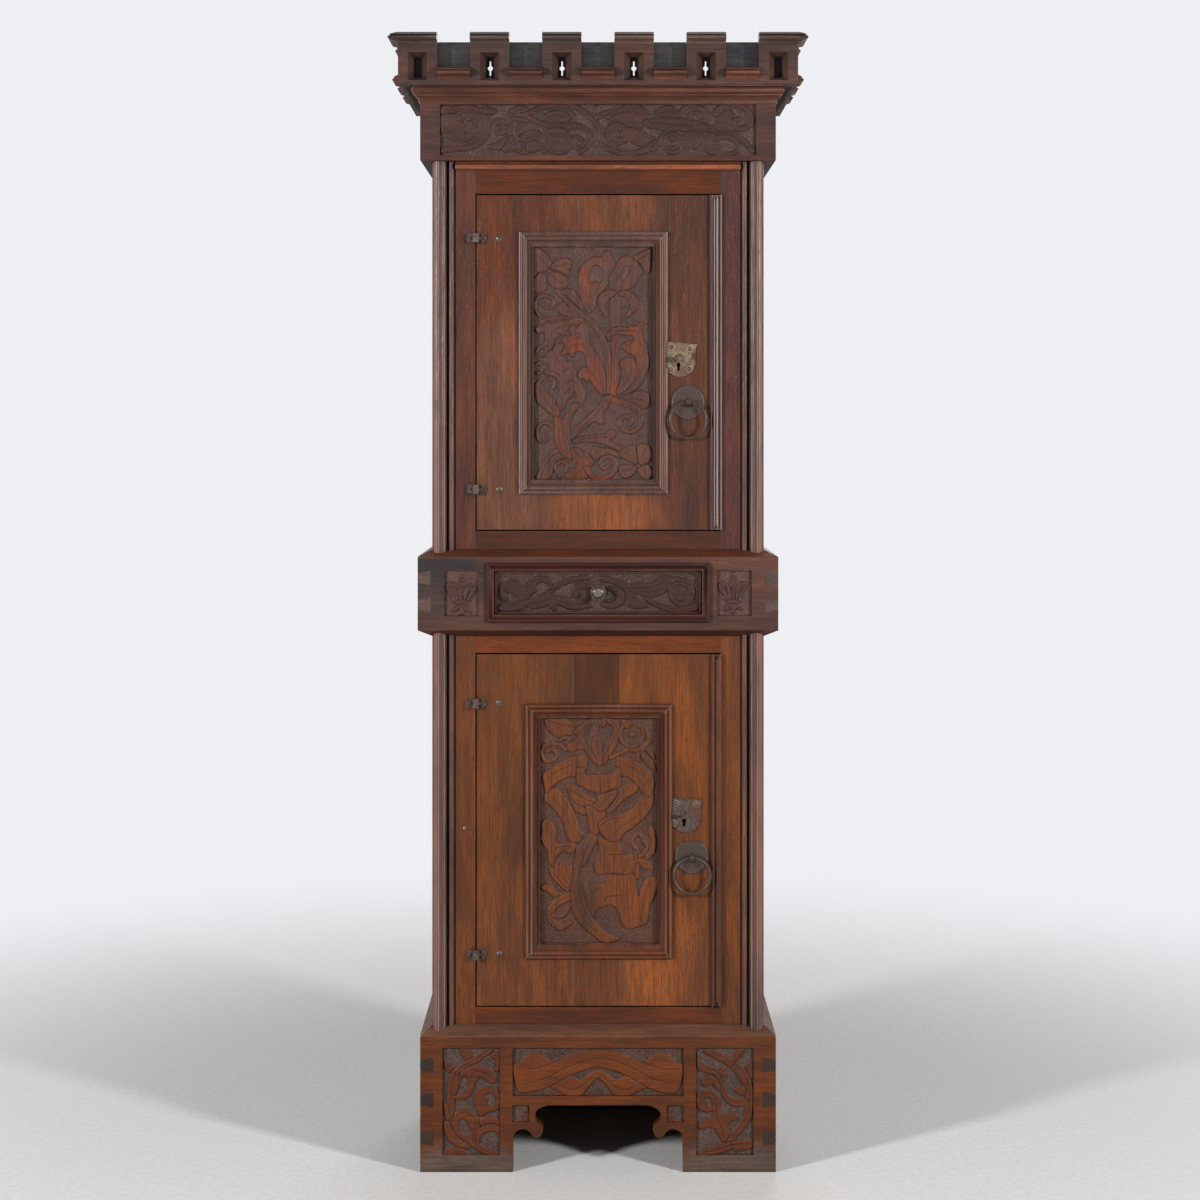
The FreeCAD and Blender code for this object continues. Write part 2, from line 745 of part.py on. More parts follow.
def escutcheon_outline(x, z):
    """A hand-cut shield with a round foot. Its head runs slightly downhill."""
    r = escutcheon_radius
    middle_x = x + escutcheon_offset
    middle_z = z + escutcheon_round_rise
    left_x = x + escutcheon_top_left[0]
    left_z = z + escutcheon_top_left[1]
    right_x = x + escutcheon_top_right[0]
    right_z = z + escutcheon_top_right[1]
    return [
        (left_x, left_z), (right_x, right_z),
        ((middle_x + 0.98 * r, (middle_z + right_z) / 2), (middle_x + r, middle_z)),
        ((middle_x, middle_z - r), (middle_x - r, middle_z)),
        ((middle_x - 0.96 * r, (middle_z + left_z) / 2), (left_x, left_z)),
    ]


def panel_rectangle(margins, opening, inset):
    """The panel moulding's outer rectangle on a door, drawn in by inset on every side."""
    left, right, bottom, top = [margin + door_gap + inset for margin in margins]
    return -opening_half + left, opening_half - right, opening[0] + bottom, opening[1] - top


def make_door(prefix, opening, margins, key, seams):
    """Upright boards glued round a carved panel, whose moulding covers the joint."""
    x0 = -opening_half + door_gap
    x1 = opening_half - door_gap
    z0 = opening[0] + door_gap
    z1 = opening[1] - door_gap
    px0, px1, pz0, pz1 = panel_rectangle(margins, opening, panel_moulding_overlap)
    key_x = key[0]
    key_z = opening[0] + key[1]
    room = [box(px0, px1, door_y, door_back_y, pz0, pz1), keyhole(key_x, key_z, door_y, door_back_y)]
    edges = [x0] + seams + [x1]
    boards = [box(a, b, door_y, door_back_y, z0, z1).cut(room) for a, b in zip(edges, edges[1:])]
    add(prefix + "_door_boards", *boards)

    face_y = door_y + panel_setback
    panel = box(px0, px1, face_y, door_back_y, pz0, pz1)
    fx0, fx1, fz0, fz1 = panel_rectangle(margins, opening, panel_moulding_width)
    add(prefix + "_door_panel", panel.cut(sunk_field(fx0, fx1, face_y, fz0, fz1)))

    w = panel_moulding_width
    lap = panel_moulding_overlap
    section = [
        (0, 0), (0, w * 0.11), ((w * 0.12, w * 0.25), (w * 0.28, w * 0.22)),
        ((w * 0.44, w * 0.37), (w * 0.6, w * 0.22)), (w * 0.64, w * 0.16), (w * 0.7, w * 0.05),
        (w * 0.86, -w * 0.03), (w * 0.86, w * 0.03), (w * 0.95, w * 0.03),
        (w, -panel_setback), (lap, -panel_setback), (lap, 0),
    ]
    mx0, mx1, mz0, mz1 = panel_rectangle(margins, opening, 0)
    # The moulding is cut away where the lock's escutcheon lies.
    room = front_prism(escutcheon_outline(key_x, key_z), door_y - w, door_y)
    strips = picture_frame(mx0, mx1, mz0, mz1, w, section, door_y)
    add(prefix + "_panel_moulding", *[strip.cut(room) for strip in strips])


def make_astragal(prefix, opening, width, reed_shares):
    """The strip that covers the gap at the lock side. Its reeds stop at a notch at each end."""
    x1 = opening_half - door_gap + astragal_overlap
    x0 = x1 - width
    z0 = opening[0] + door_gap
    z1 = opening[1] - door_gap
    out = astragal_projection
    fillet = 0.35 * out
    section = [(x0, 0), (x0, fillet)]
    at = x0
    for share in reed_shares:
        reed = share * width
        rise = min(out - fillet, 0.45 * reed)
        section.append(((at + reed / 2, fillet + rise), (at + reed, fillet)))
        at += reed
    section += [(x1, 0)]
    strip = run(section, lambda x, v: Vector(x, door_y - v, z0), Vector(0, 0, z1 - z0))
    middle = (x0 + x1) / 2
    half = astragal_notch / 2
    front_y = door_y - out
    deep_y = door_y - fillet
    notches = []
    for end, sign in ((z0, 1), (z1, -1)):
        notches.append(front_prism([(middle - half, end), (middle + half, end),
                                    (middle, end + sign * astragal_notch)], front_y, deep_y))
    add(prefix + "_door_astragal", strip.cut(notches))


hinge_x = -opening_half + door_gap / 2
hinge_y = door_y - hinge_axis_proud


def hinge_part(middle_z, wood_y, side, bands):
    """A leaf on the wood, with a knuckle in each band of heights. side is -1 for the frame's fork."""
    total = 3 * knuckle_height + 2 * knuckle_gap
    low = middle_z - total / 2
    reach = wood_y - hinge_y
    near = knuckle_radius + hinge_leaf_setback
    end = hinge_leaf_reach
    clip = hinge_leaf_corner
    leaf = front_prism([(near, low), (end - clip, low), (end, low + clip), (end, low + total - clip),
                        (end - clip, low + total), (near, low + total)], wood_y - hinge_leaf_thick, wood_y)
    web = [
        (near + hinge_leaf_thick, reach), (near + hinge_leaf_thick, reach - hinge_leaf_thick),
        (near, reach - hinge_leaf_thick), (knuckle_radius * 0.96, knuckle_radius * 0.24), (0, 0),
        (knuckle_radius * 0.3, knuckle_radius * 0.95), (knuckle_radius * 0.95, reach),
    ]
    part = leaf
    for a, b in bands:
        web_solid = run(web, lambda u, v: Vector(u, hinge_y + v, low + a), Vector(0, 0, b - a))
        knuckle = forged_rod(Vector(0, hinge_y, low + a), Vector(0, 0, 1), knuckle_radius, b - a,
                             knuckle_flat_count)
        part = part.fuse([web_solid, knuckle])
    part = part.removeSplitter()
    if side < 0:
        part = mirrored(part)
    part.translate(Vector(hinge_x, 0, 0))
    return part


def make_hinges(prefix, opening, insets):
    step = knuckle_height + knuckle_gap
    fork_bands = [(0, knuckle_height), (2 * step, 2 * step + knuckle_height)]
    eye_bands = [(step, step + knuckle_height)]
    total = 2 * step + knuckle_height
    forks = []
    eyes = []
    pins = []
    for middle in (opening[0] + insets[0], opening[1] - insets[1]):
        low = middle - total / 2
        start = Vector(hinge_x, hinge_y, low)
        up = Vector(0, 0, 1)
        fork = hinge_part(middle, body_y, -1, fork_bands)
        forks.append(fork.cut(rod(start, up, hinge_pin_radius, total)))
        eye = hinge_part(middle, door_y, 1, eye_bands)
        eyes.append(eye.cut(rod(start, up, hinge_pin_radius + hinge_pin_clearance, total)))
        pins.append(rod(start, up, hinge_pin_radius, total + hinge_pin_head))
    add("hinge_forks", *forks)
    add("hinge_pins", *pins)
    add(prefix + "_hinge_eyes", *eyes)


def make_pull(prefix, opening, pull, flat_top):
    """A round plate with an eye that the ring hangs through."""
    x = pull[0]
    z = opening[0] + pull[1]
    plate = forged_rod(Vector(x, door_y, z), Vector(0, -1, 0), pull_plate_radius, pull_plate_thick,
                       pull_plate_flat_count)
    if flat_top:
        plate = plate.cut(box(x - pull_plate_radius, x + pull_plate_radius, door_y - pull_plate_thick,
                              door_y, z + pull_plate_flat, z + pull_plate_radius))
    eye_y = door_y - ring_stand_off
    half = eye_width / 2
    eye = forged_rod(Vector(x - half, eye_y, z), Vector(1, 0, 0), eye_radius, eye_width, eye_flat_count)
    neck = box(x - half, x + half, eye_y, door_y - pull_plate_thick, z - eye_neck_height / 2,
               z + eye_neck_height / 2)
    hole = rod(Vector(x - eye_width, eye_y, z), Vector(1, 0, 0), ring_wire_radius + ring_clearance,
               2 * eye_width)
    add(prefix + "_pull_plate", plate.fuse([eye, neck]).removeSplitter().cut(hole))
    # The ring is bent from an eight-sided rod in many short bends.
    centre = Vector(x, eye_y, z - ring_radius)
    path = ring_of_points(centre, Vector(0, -1, 0), ring_radius, ring_bend_count)
    along = path[1] - path[0]
    start = path[0] + along * 0.5
    outwards = (start - centre).normalize()
    corners = []
    for i in range(ring_wire_flat_count):
        angle = 2 * math.pi * (i + 0.5) / ring_wire_flat_count
        corners.append(start + outwards * (ring_wire_radius * math.cos(angle))
                       + Vector(0, ring_wire_radius * math.sin(angle), 0))
    route = Part.makePolygon([start] + path[1:] + [path[0], start])
    wire = route.makePipeShell([Part.makePolygon(corners + corners[:1])], True, True, 1)
    add(prefix + "_pull_ring", wire)


def make_lock(prefix, opening, key):
    """An escutcheon on the face and a box lock on the back, whose bolt slides behind the stile."""
    x = key[0]
    z = opening[0] + key[1]
    plate = front_prism(escutcheon_outline(x, z), door_y - escutcheon_thick, door_y)
    add(prefix + "_escutcheon", plate.cut(keyhole(x, z, door_y - escutcheon_thick, door_y)))

    x1 = opening_half - door_gap
    x0 = x - lock_case_back
    z0 = z - lock_case_height / 2
    z1 = z + lock_case_height / 2
    y1 = door_back_y + lock_case_depth
    t = lock_plate_thick
    case = box(x0, x1, door_back_y, y1, z0, z1)
    case = case.cut(box(x0 + t, x1 - t, door_back_y, y1 - t, z0 + t, z1 - t))
    case = case.fuse(rod(Vector(x, y1 - t, z), Vector(0, -1, 0), drill_pin_radius, lock_case_depth - t))
    bolt_y = door_back_y + (lock_case_depth - t - bolt_thick) / 2
    bolt_z = z + bolt_height / 2 + keyhole_radius
    c = bolt_clearance
    slot = box(x1 - 2 * t, x1, bolt_y - c, bolt_y + bolt_thick + c, bolt_z - bolt_height / 2 - c,
               bolt_z + bolt_height / 2 + c)
    add(prefix + "_lock_case", case.cut(slot))
    bolt = box(x - bolt_tail, x1 - bolt_setback, bolt_y, bolt_y + bolt_thick, bolt_z - bolt_height / 2,
               bolt_z + bolt_height / 2)
    talon = box(x - talon_width / 2, x + talon_width / 2, bolt_y, bolt_y + bolt_thick,
                bolt_z - bolt_height / 2, bolt_z - bolt_height / 2 + talon_depth)
    add(prefix + "_lock_bolt", bolt.cut(talon))


make_base()
base_frame = shoulder_frame(block_half, block_y, base_top, base_shoulder_height, block_step)
chamfer_frame = shoulder_frame(waist_half, waist_y, lower_top, waist_chamfer_height, waist_step, True)
weathering_frame = shoulder_frame(waist_half, waist_y, waist_top, waist_shoulder_height, waist_step)
add("base_shoulder", *base_frame)
add("waist_mouldings", *(chamfer_frame + weathering_frame))
make_waist()
make_drawer_surround()
make_drawer()
make_columns(base_frame, chamfer_frame, weathering_frame)
make_cupboard("lower", lower_bottom, lower_top, lower_opening)
make_cupboard("upper", upper_bottom, upper_top, upper_opening)
make_frieze()
add("block_backs", block_back(block_half, 0, base_top), block_back(waist_half, waist_bottom, waist_top),
    block_back(block_half, upper_top, parapet_bottom))
make_cornice()
make_parapets()
make_door("lower", lower_opening, lower_panel_margins, lower_key, lower_door_seams)
make_door("upper", upper_opening, upper_panel_margins, upper_key, upper_door_seams)
make_astragal("lower", lower_opening, lower_astragal_width, lower_reeds)
make_astragal("upper", upper_opening, upper_astragal_width, upper_reeds)
make_hinges("lower", lower_opening, lower_hinge_insets)
make_hinges("upper", upper_opening, upper_hinge_insets)
make_pull("lower", lower_opening, lower_pull, True)
make_pull("upper", upper_opening, upper_pull, False)
make_lock("lower", lower_opening, lower_key)
make_lock("upper", upper_opening, upper_key)

os.makedirs("parts", exist_ok=True)
for name, solids in sorted(nodes.items()):
    shape = solids[0] if len(solids) == 1 else Part.makeCompound(solids)
    if not shape.isValid():
        print("not valid:", name)
    shape.exportStep("parts/" + name + ".step")
print(len(nodes), "nodes,", sum(len(solids) for solids in nodes.values()), "solids")
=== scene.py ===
import math

import bpy
import numpy as np
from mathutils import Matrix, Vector


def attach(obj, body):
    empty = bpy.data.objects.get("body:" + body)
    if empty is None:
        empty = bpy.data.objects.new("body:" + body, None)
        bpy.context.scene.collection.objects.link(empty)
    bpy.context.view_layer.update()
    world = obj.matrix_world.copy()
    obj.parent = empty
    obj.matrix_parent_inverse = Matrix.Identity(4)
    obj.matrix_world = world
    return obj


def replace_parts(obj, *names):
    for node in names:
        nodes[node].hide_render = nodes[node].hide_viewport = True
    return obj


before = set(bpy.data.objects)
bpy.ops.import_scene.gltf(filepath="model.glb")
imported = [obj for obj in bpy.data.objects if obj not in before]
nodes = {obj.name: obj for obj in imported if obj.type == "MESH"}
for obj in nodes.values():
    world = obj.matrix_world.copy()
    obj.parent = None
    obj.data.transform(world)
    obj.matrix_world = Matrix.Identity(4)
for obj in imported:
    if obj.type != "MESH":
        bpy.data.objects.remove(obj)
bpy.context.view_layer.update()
put_in_scene = bpy.context.scene.collection.objects.link

ACROSS, DEEP, UP = 0, 1, 2
# Dark colour for real grime and pores, also used as painted shade in corners, grooves and carved outlines
GRIME = "#231714"
BACKDROP = "#EEEFF3"
WELD_DISTANCE = 0.00001

# Depths of the faces that the small pieces lie on, in mm
PANEL_GROUND = -142.0
STILE_FACE = -149.5
DOOR_FACE = -150.0
PLATE_FACE = -152.0
DRAWER_GROUND = -162.5
FRONT_GROUND = -164.5
WAIST_GROUND = -168.5


def paint(hex_colour, *factors):
    """A colour written as #RRGGBB, as linear RGBA, times one factor or one for each channel."""
    factors = factors if len(factors) == 3 else (factors or (1.0,)) * 3
    channels = [int(hex_colour[i:i + 2], 16) / 255.0 for i in (1, 3, 5)]
    linear = [c / 12.92 if c <= 0.04045 else ((c + 0.055) / 1.055) ** 2.4 for c in channels]
    return tuple(min(c * f, 1.0) for c, f in zip(linear, factors)) + (1.0,)


# Shader graphs


class Graph:
    """Shader nodes added by short calls. Vectors are in metres, in the frame of the whole object."""

    def __init__(self, holder):
        holder.use_nodes = True
        self.holder, self.tree = holder, holder.node_tree
        self.tree.nodes.clear()
        self.place = self.node("TexCoord", {}, "Object")

    def node(self, kind, inputs, output=0, **settings):
        """Adds a node, fills its inputs by name or number, and gives one of its outputs."""
        node = self.tree.nodes.new("ShaderNode" + kind)
        for name, value in settings.items():
            setattr(node, name, value)
        for key, value in inputs.items():
            if isinstance(value, bpy.types.NodeSocket):
                self.tree.links.new(value, node.inputs[key])
            else:
                node.inputs[key].default_value = value
        return node.outputs[output] if len(node.outputs) else None

    def math(self, operation, *values):
        return self.node("Math", dict(enumerate(values)), operation=operation)

    def times(self, a, b):
        return self.math("MULTIPLY", a, b)

    def off(self, value, number):
        """How far a value is from a number, either way."""
        return self.math("ABSOLUTE", self.math("SUBTRACT", value, number))

    def remap(self, value, low, high, to_low=0.0, to_high=1.0):
        """to_low where the value is at low or less, to_high at high or more, smooth in between."""
        numbers = dict(enumerate((value, low, high, to_low, to_high)))
        return self.node("MapRange", numbers, interpolation_type="SMOOTHSTEP")

    def mix(self, factor, a, b, mode="MIX"):
        return self.node("Mix", {0: factor, 6: a, 7: b}, 2, data_type="RGBA", blend_type=mode,
                         clamp_factor=True)

    def noise(self, vector, scale=1.0, detail=3.0, roughness=0.55, distortion=0.0):
        return self.node("TexNoise", {"Vector": vector, "Scale": scale, "Detail": detail,
                                      "Roughness": roughness, "Distortion": distortion}, "Fac")

    def axis(self, index):
        return self.node("SeparateXYZ", {0: self.place}, index)

    def hollow(self, distance, inside=False):
        """1 in the open and less in a corner, or with inside, less on a sharp outer edge."""
        return self.node("AmbientOcclusion", {"Distance": distance}, "AO", samples=4, inside=inside)

    def attribute(self, name):
        return self.node("Attribute", {}, "Fac", attribute_name=name)

    def bump(self, height, distance, strength):
        return self.node("Bump", {"Height": height, "Distance": distance, "Strength": strength})

    def surface(self, **values):
        """The principled shader, with its inputs by name and _ for a space."""
        return self.node("BsdfPrincipled", {name.replace("_", " "): value for name, value in values.items()})

    def show(self, shader, kind="OutputMaterial"):
        """Ends the graph with a shader and gives the material or world that it belongs to."""
        self.node(kind, {0: shader})
        return self.holder


def patched(g, tone, patches, mottle, painted):
    """A tone with ragged ovals of other tones: centre and size in X and Z, colour and amount."""
    for centre, size, colour, amount in patches:
        dx, dz = (g.math("DIVIDE", g.math("SUBTRACT", g.axis(axis), middle), half)
                  for axis, middle, half in zip((ACROSS, UP), centre, size))
        far = g.math("SQRT", g.math("ADD", g.times(dx, dx), g.times(dz, dz)))
        ragged = g.math("ADD", far, g.times(g.math("SUBTRACT", mottle, 0.5), 0.9))
        tone = g.mix(g.times(g.remap(ragged, 0.75, 1.55, 1.0, 0.0), amount), tone, painted(colour))
    return tone


def reeded(g, tone, smear, low, high, level_share, reeds):
    """A tone with the lines of a moulding that runs round the upright rectangle from low to high in X
    and Z: painted highlights on its crests and painted shade in its grooves. Its level sides show
    level_share of them. A line is its distance out and its width in mm, its colour and its amount."""
    gaps = [g.math("SUBTRACT", g.off(g.axis(axis), (a + b) / 2), (b - a) / 2)
            for axis, a, b in zip((ACROSS, UP), low, high)]
    out, upright = g.math("MAXIMUM", *gaps), g.math("GREATER_THAN", *gaps)
    share = g.times(g.remap(upright, 0.0, 1.0, level_share, 1.0), g.remap(smear, 0.32, 0.52, 0.45, 1.0))
    for centre, width, colour, amount in reeds:
        band = g.remap(g.off(out, centre / 1000), width * 0.0003, width * 0.0007, amount, 0.0)
        tone = g.mix(g.times(band, share), tone, paint(colour))
    return tone


def carved_ground(g, tone, ground, cut):
    """The dark punched ground and the outlines of a carving, which its mesh gives as cut and rim. The rim is
    painted shade and dirt: dark lines along the outlines and grooves.
    """
    speckle = g.noise(g.place, 330, 3, 0.7)
    soil = g.remap(g.noise(g.place, 28), 0.35, 0.65)
    low_tone = g.mix(soil, paint(ground, 0.8), paint(ground, 1.25))
    low_tone = g.mix(g.remap(speckle, 0.35, 0.65, 0.5, 0.0), low_tone, paint(GRIME))
    dots = g.remap(g.noise(g.place, 900, 1), 0.6, 0.72, 0.0, 0.55)
    low_tone = g.mix(dots, low_tone, paint("#9A8C84"))
    tone = g.mix(g.remap(cut, 0.15, 0.75), low_tone, tone)
    # The rim: dark lines of painted shade and dirt along the outlines and grooves, broken up by noise
    broken = g.remap(g.noise(g.place, 120), 0.36, 0.58, 0.3, 1.0)
    return g.mix(g.times(g.attribute("rim"), broken), tone, paint(GRIME, 0.8)), speckle


def wood(name, colour, grain, seed, patches=(), boards=(), dirt=0.75, wear=0.55, rough=0.5, contrast=1.0,
         worn="#A8948A", ground=None, reeds=None):
    """Waxed oak. Boards are upright strips of another tone, and a ground colour makes it carved oak."""
    g = Graph(bpy.data.materials.new(name))
    relief = ground is not None

    def streaks(across, along, **settings):
        scale = [across] * 3
        scale[grain] = along
        offset = (seed * 1.37, seed * 2.11, seed * 0.73)
        return g.noise(g.node("Mapping", {"Vector": g.place, "Scale": scale, "Location": offset}), **settings)

    cloud = streaks(13, 3.2, detail=5, roughness=0.6, distortion=0.4)
    smear = streaks(60, 8, detail=4, roughness=0.6, distortion=0.5)
    line = streaks(400, 18, detail=4, roughness=0.65, distortion=0.2)
    fleck = streaks(620, 80, detail=2)
    pore = streaks(1400, 90, detail=2)

    def mottled(base):
        dark, light = paint(base, 0.70, 0.73, 0.80), paint(base, 1.32, 1.22, 1.02)
        return g.mix(g.remap(cloud, 0.34, 0.66, 0.2 * relief, 1.0 - 0.25 * relief), dark, light)

    tone = mottled(colour)
    for low, high, board_colour in boards:
        x = g.axis(ACROSS)
        inside = g.times(g.math("GREATER_THAN", x, low), g.math("LESS_THAN", x, high))
        tone = g.mix(inside, tone, mottled(board_colour))
    tone = patched(g, tone, patches, cloud, mottled)

    # Dark smears, dark and light grain lines, and light flecks
    for streak, low, high, at_low, at_high, tint in (
            (smear, 0.36, 0.64, 0.55, 0.0, (0.6, 0.6, 0.64, 1.0)),
            (line, 0.37, 0.5, 0.55, 0.0, (0.45, 0.44, 0.46, 1.0)),
            (line, 0.52, 0.66, 0.0, 0.6, (1.5, 1.42, 1.3, 1.0)),
            (fleck, 0.6, 0.7, 0.0, 0.4, (1.8, 1.6, 1.35, 1.0))):
        amount = g.remap(streak, low, high, at_low * contrast, at_high * contrast)
        tone = g.mix(amount, tone, tint, "MULTIPLY")
    tone = g.mix(g.remap(pore, 0.56, 0.64, 0.0, 0.55), tone, paint(GRIME))
    height = g.math("ADD", line, g.times(g.remap(pore, 0.55, 0.64), -0.4))
    # Sharp outer edges: the mask for wear and painted glints on the arrises
    edge = g.remap(g.hollow(0.0016, True), 0.25, 0.62, 1.0, 0.0)
    edge = g.times(edge, g.remap(smear, 0.38, 0.58, 0.1, 1.0))
    # Painted highlights on the crests and painted shade in the grooves of the mouldings
    if reeds:
        tone = reeded(g, tone, smear, *reeds)
    if relief:
        cut = g.attribute("cut")
        tone, speckle = carved_ground(g, tone, ground, cut)
        height = g.mix(g.remap(cut, 0.2, 0.6), g.times(speckle, 2.5), height)
        edge = g.times(edge, cut)
    # Edges lightened with the worn colour: partly wear, partly painted glints of the lamps
    tone = g.mix(g.times(edge, wear), tone, paint(worn))
    # Painted shade and dirt: darker in corners and recesses, where ambient occlusion finds them
    reach, most = (0.006, 0.45 * dirt) if relief else (0.014, dirt)
    tone = g.mix(g.remap(g.hollow(reach), 0.2, 0.95, most, 0.0), tone, paint(GRIME, 0.7))
    roughness = g.remap(line, 0.35, 0.65, rough + 0.1, rough - 0.08)
    return g.show(g.surface(Base_Color=tone, Roughness=roughness, Normal=g.bump(height, 0.0004, 0.6),
                            Specular_IOR_Level=0.22))


def metal(name, colour, rust, rough=0.45, metallic=0.85, dirt=0.7, worn="#B9AC98", wear=0.4, patches=()):
    """Old hand-worked metal: mottled patina, dark corners of dirt and painted shade, and rubbed edges that
    are lightened as wear and as painted glints.
    """
    g = Graph(bpy.data.materials.new(name))
    patina = g.noise(g.place, 160, 5, 0.65)
    spots = g.noise(g.place, 700)
    tone = g.mix(g.remap(patina, 0.35, 0.65), paint(rust), paint(colour))
    tone = patched(g, tone, patches, patina, paint)
    tone = g.mix(g.remap(spots, 0.55, 0.7, 0.0, 0.5), tone, paint(rust, 0.5))
    # Wear and painted glints on the sharp edges
    tone = g.mix(g.remap(g.hollow(0.0012, True), 0.2, 0.6, wear, 0.0), tone, paint(worn))
    # Dirt and painted shade in the corners and hollows
    tone = g.mix(g.remap(g.hollow(0.006), 0.3, 0.95, dirt, 0.0), tone, paint("#1E1815"))
    height = g.math("ADD", patina, g.times(spots, 0.3))
    roughness = g.remap(patina, 0.3, 0.7, rough + 0.12, rough - 0.05)
    return g.show(g.surface(Base_Color=tone, Roughness=roughness, Normal=g.bump(height, 0.0006, 0.5),
                            Metallic=metallic))


def modify(obj, kind, **settings):
    modifier = obj.modifiers.new(kind.lower(), kind)
    for name, value in settings.items():
        setattr(modifier, name, value)


def soften(obj, width):
    """Welds a CAD mesh, rounds its sharp edges a little and evens out its shading."""
    mesh = obj.data
    if mesh.has_custom_normals:
        mesh.attributes.remove(mesh.attributes["custom_normal"])
    for name in ("sharp_edge", "sharp_face"):
        if name in mesh.attributes:
            mesh.attributes.remove(mesh.attributes[name])
    modify(obj, "WELD", merge_threshold=WELD_DISTANCE)
    modify(obj, "DECIMATE", decimate_type="DISSOLVE", angle_limit=math.radians(0.5))
    modify(obj, "BEVEL", width=width, segments=2, limit_method="ANGLE", angle_limit=math.radians(30),
           use_clamp_overlap=True)
    modify(obj, "WEIGHTED_NORMAL", weight=80, keep_sharp=False)


def dress(node, material, bevel=0.0007):
    """Gives the piece of a CAD node its material, and rounds its edges by the bevel, in metres."""
    obj = nodes[node]
    obj.data.materials.clear()
    obj.data.materials.append(material)
    if bevel:
        soften(obj, bevel)


def oak(node, colour, grain, seed, bevel=0.0007, **looks):
    dress(node, wood("oak_" + node, colour, grain, seed, **looks), bevel)


# Oak, one material for each run of wood with its own tone and grain

oak("base_front", "#54290C", ACROSS, 1, dirt=0.8, patches=[
    ((x, 0.0), (0.09, 0.045), "#5A4B43", 0.9) for x in (-0.235, 0.235)])
oak("base_sides", "#2E211B", DEEP, 2, patches=[((0.0, 0.0), (0.5, 0.04), "#5A4B43", 0.9)])
oak("base_shoulder", "#523629", ACROSS, 3, bevel=0)
plain = wood("oak_plain", "#6B5140", DEEP, 4, wear=0.15, rough=0.7)
for node in ("base_corner_blocks", "drawer_runners", "shelf_bearers", "shelves", "floors_and_ceilings"):
    dress(node, plain)
oak("block_backs", "#5E463A", ACROSS, 5, wear=0.15, rough=0.65)
# The reed lines here are painted highlights (pale) and painted shade (dark) along the column
oak("corner_columns", "#5C4037", UP, 6, wear=0.9, dirt=1.0, rough=0.4, worn="#9A8279", reeds=(
    (0.0, -1.0), (0.0, 3.0), 1.0, [(287.8, 6.5, "#865E57", 0.5), (282.0, 1.6, "#877971", 0.6),
                                   (277.0, 5.0, "#4A3636", 0.6), (271.9, 1.7, "#8D7F76", 0.7)]))
oak("lower_stiles", "#5D3215", UP, 7)
oak("upper_stiles", "#4B281B", UP, 8, boards=[(0.2, 0.3, "#4A2720")])
oak("lower_rails", "#5D2B04", ACROSS, 9, patches=[((0.0, 0.25), (0.35, 0.03), "#47200A", 0.9)])
oak("upper_rails", "#492008", ACROSS, 10, patches=[((0.0, 1.105), (0.35, 0.03), "#3C1E12", 0.9)])
oak("lower_case_sides", "#613C2B", UP, 11, boards=[(-0.4, -0.05, "#603A2A")])
oak("upper_case_sides", "#5B3E36", UP, 12)
for node, seed, left, right in (("lower_back", 13, "#5C4737", "#6E5745"),
                                ("upper_back", 14, "#705A48", "#5E4939")):
    oak(node, "#66503F", UP, seed, wear=0.1, rough=0.7, boards=[(-0.138, 0.0, left), (0.138, 0.3, right)])
oak("waist_front", "#4D322B", ACROSS, 15, patches=[((-0.29, 1.02), (0.07, 0.1), "#342A2A", 0.95),
                                                   ((0.0, 0.963), (0.45, 0.02), "#3F2A24", 0.9)])
oak("waist_sides", "#52403C", DEEP, 16)
oak("waist_mouldings", "#532C1A", ACROSS, 17, bevel=0, wear=0.4, patches=[
    ((0.0, 0.942), (0.4, 0.03), "#3F261D", 0.9)])
oak("drawer_surround", "#320C03", ACROSS, 18, wear=0.35, worn="#9C6850")
oak("drawer_front", "#4B3631", ACROSS, 19)
oak("drawer_sides", "#705744", DEEP, 20, wear=0.15, rough=0.65)
oak("drawer_back", "#6C5341", ACROSS, 21, wear=0.15, rough=0.65)
oak("drawer_bottom", "#6E5643", ACROSS, 22, bevel=0, wear=0.1, rough=0.7)
oak("frieze_front", "#462D29", ACROSS, 23, patches=[((0.0, 1.783), (0.30, 0.010), "#532C1F", 0.9)])
oak("frieze_sides", "#543E39", DEEP, 24)
oak("frieze_bead", "#804A33", ACROSS, 25, wear=0.8)
oak("cornice_moulding", "#4E2B1E", ACROSS, 26, wear=0.5)
oak("parapet_front", "#48322C", ACROSS, 27, wear=0.3)
oak("parapet_sides", "#4F3B36", DEEP, 28, wear=0.3)
oak("merlon_caps", "#594842", ACROSS, 29, wear=0.6, worn="#8E8580")
oak("crenel_sills", "#633C31", ACROSS, 30, wear=0.6)
oak("roof_board", "#3A332F", ACROSS, 31, wear=0.1, rough=0.75)
oak("loophole_board", "#404045", ACROSS, 32, wear=0.15, rough=0.7, contrast=0.6)
oak("lower_door_boards", "#562F12", UP, 33, boards=[(-0.0440, 0.0380, "#482206"), (0.0380, 0.3, "#673712")],
    patches=[((-0.15, 0.33), (0.10, 0.16), "#6E3D20", 0.5), ((0.12, 0.33), (0.12, 0.10), "#7C4626", 0.5)])
oak("upper_door_boards", "#4B240F", UP, 34, boards=[(0.0510, 0.3, "#4A2819")], patches=[
    ((0.0, 1.160), (0.10, 0.045), "#824C2C", 0.5), ((0.01, 1.705), (0.075, 0.05), "#7A4527", 0.5),
    ((-0.16, 1.30), (0.06, 0.20), "#7A4E38", 0.5)])
oak("lower_door_panel", "#5E3C2E", UP, 35)
oak("upper_door_panel", "#5B433D", UP, 36)
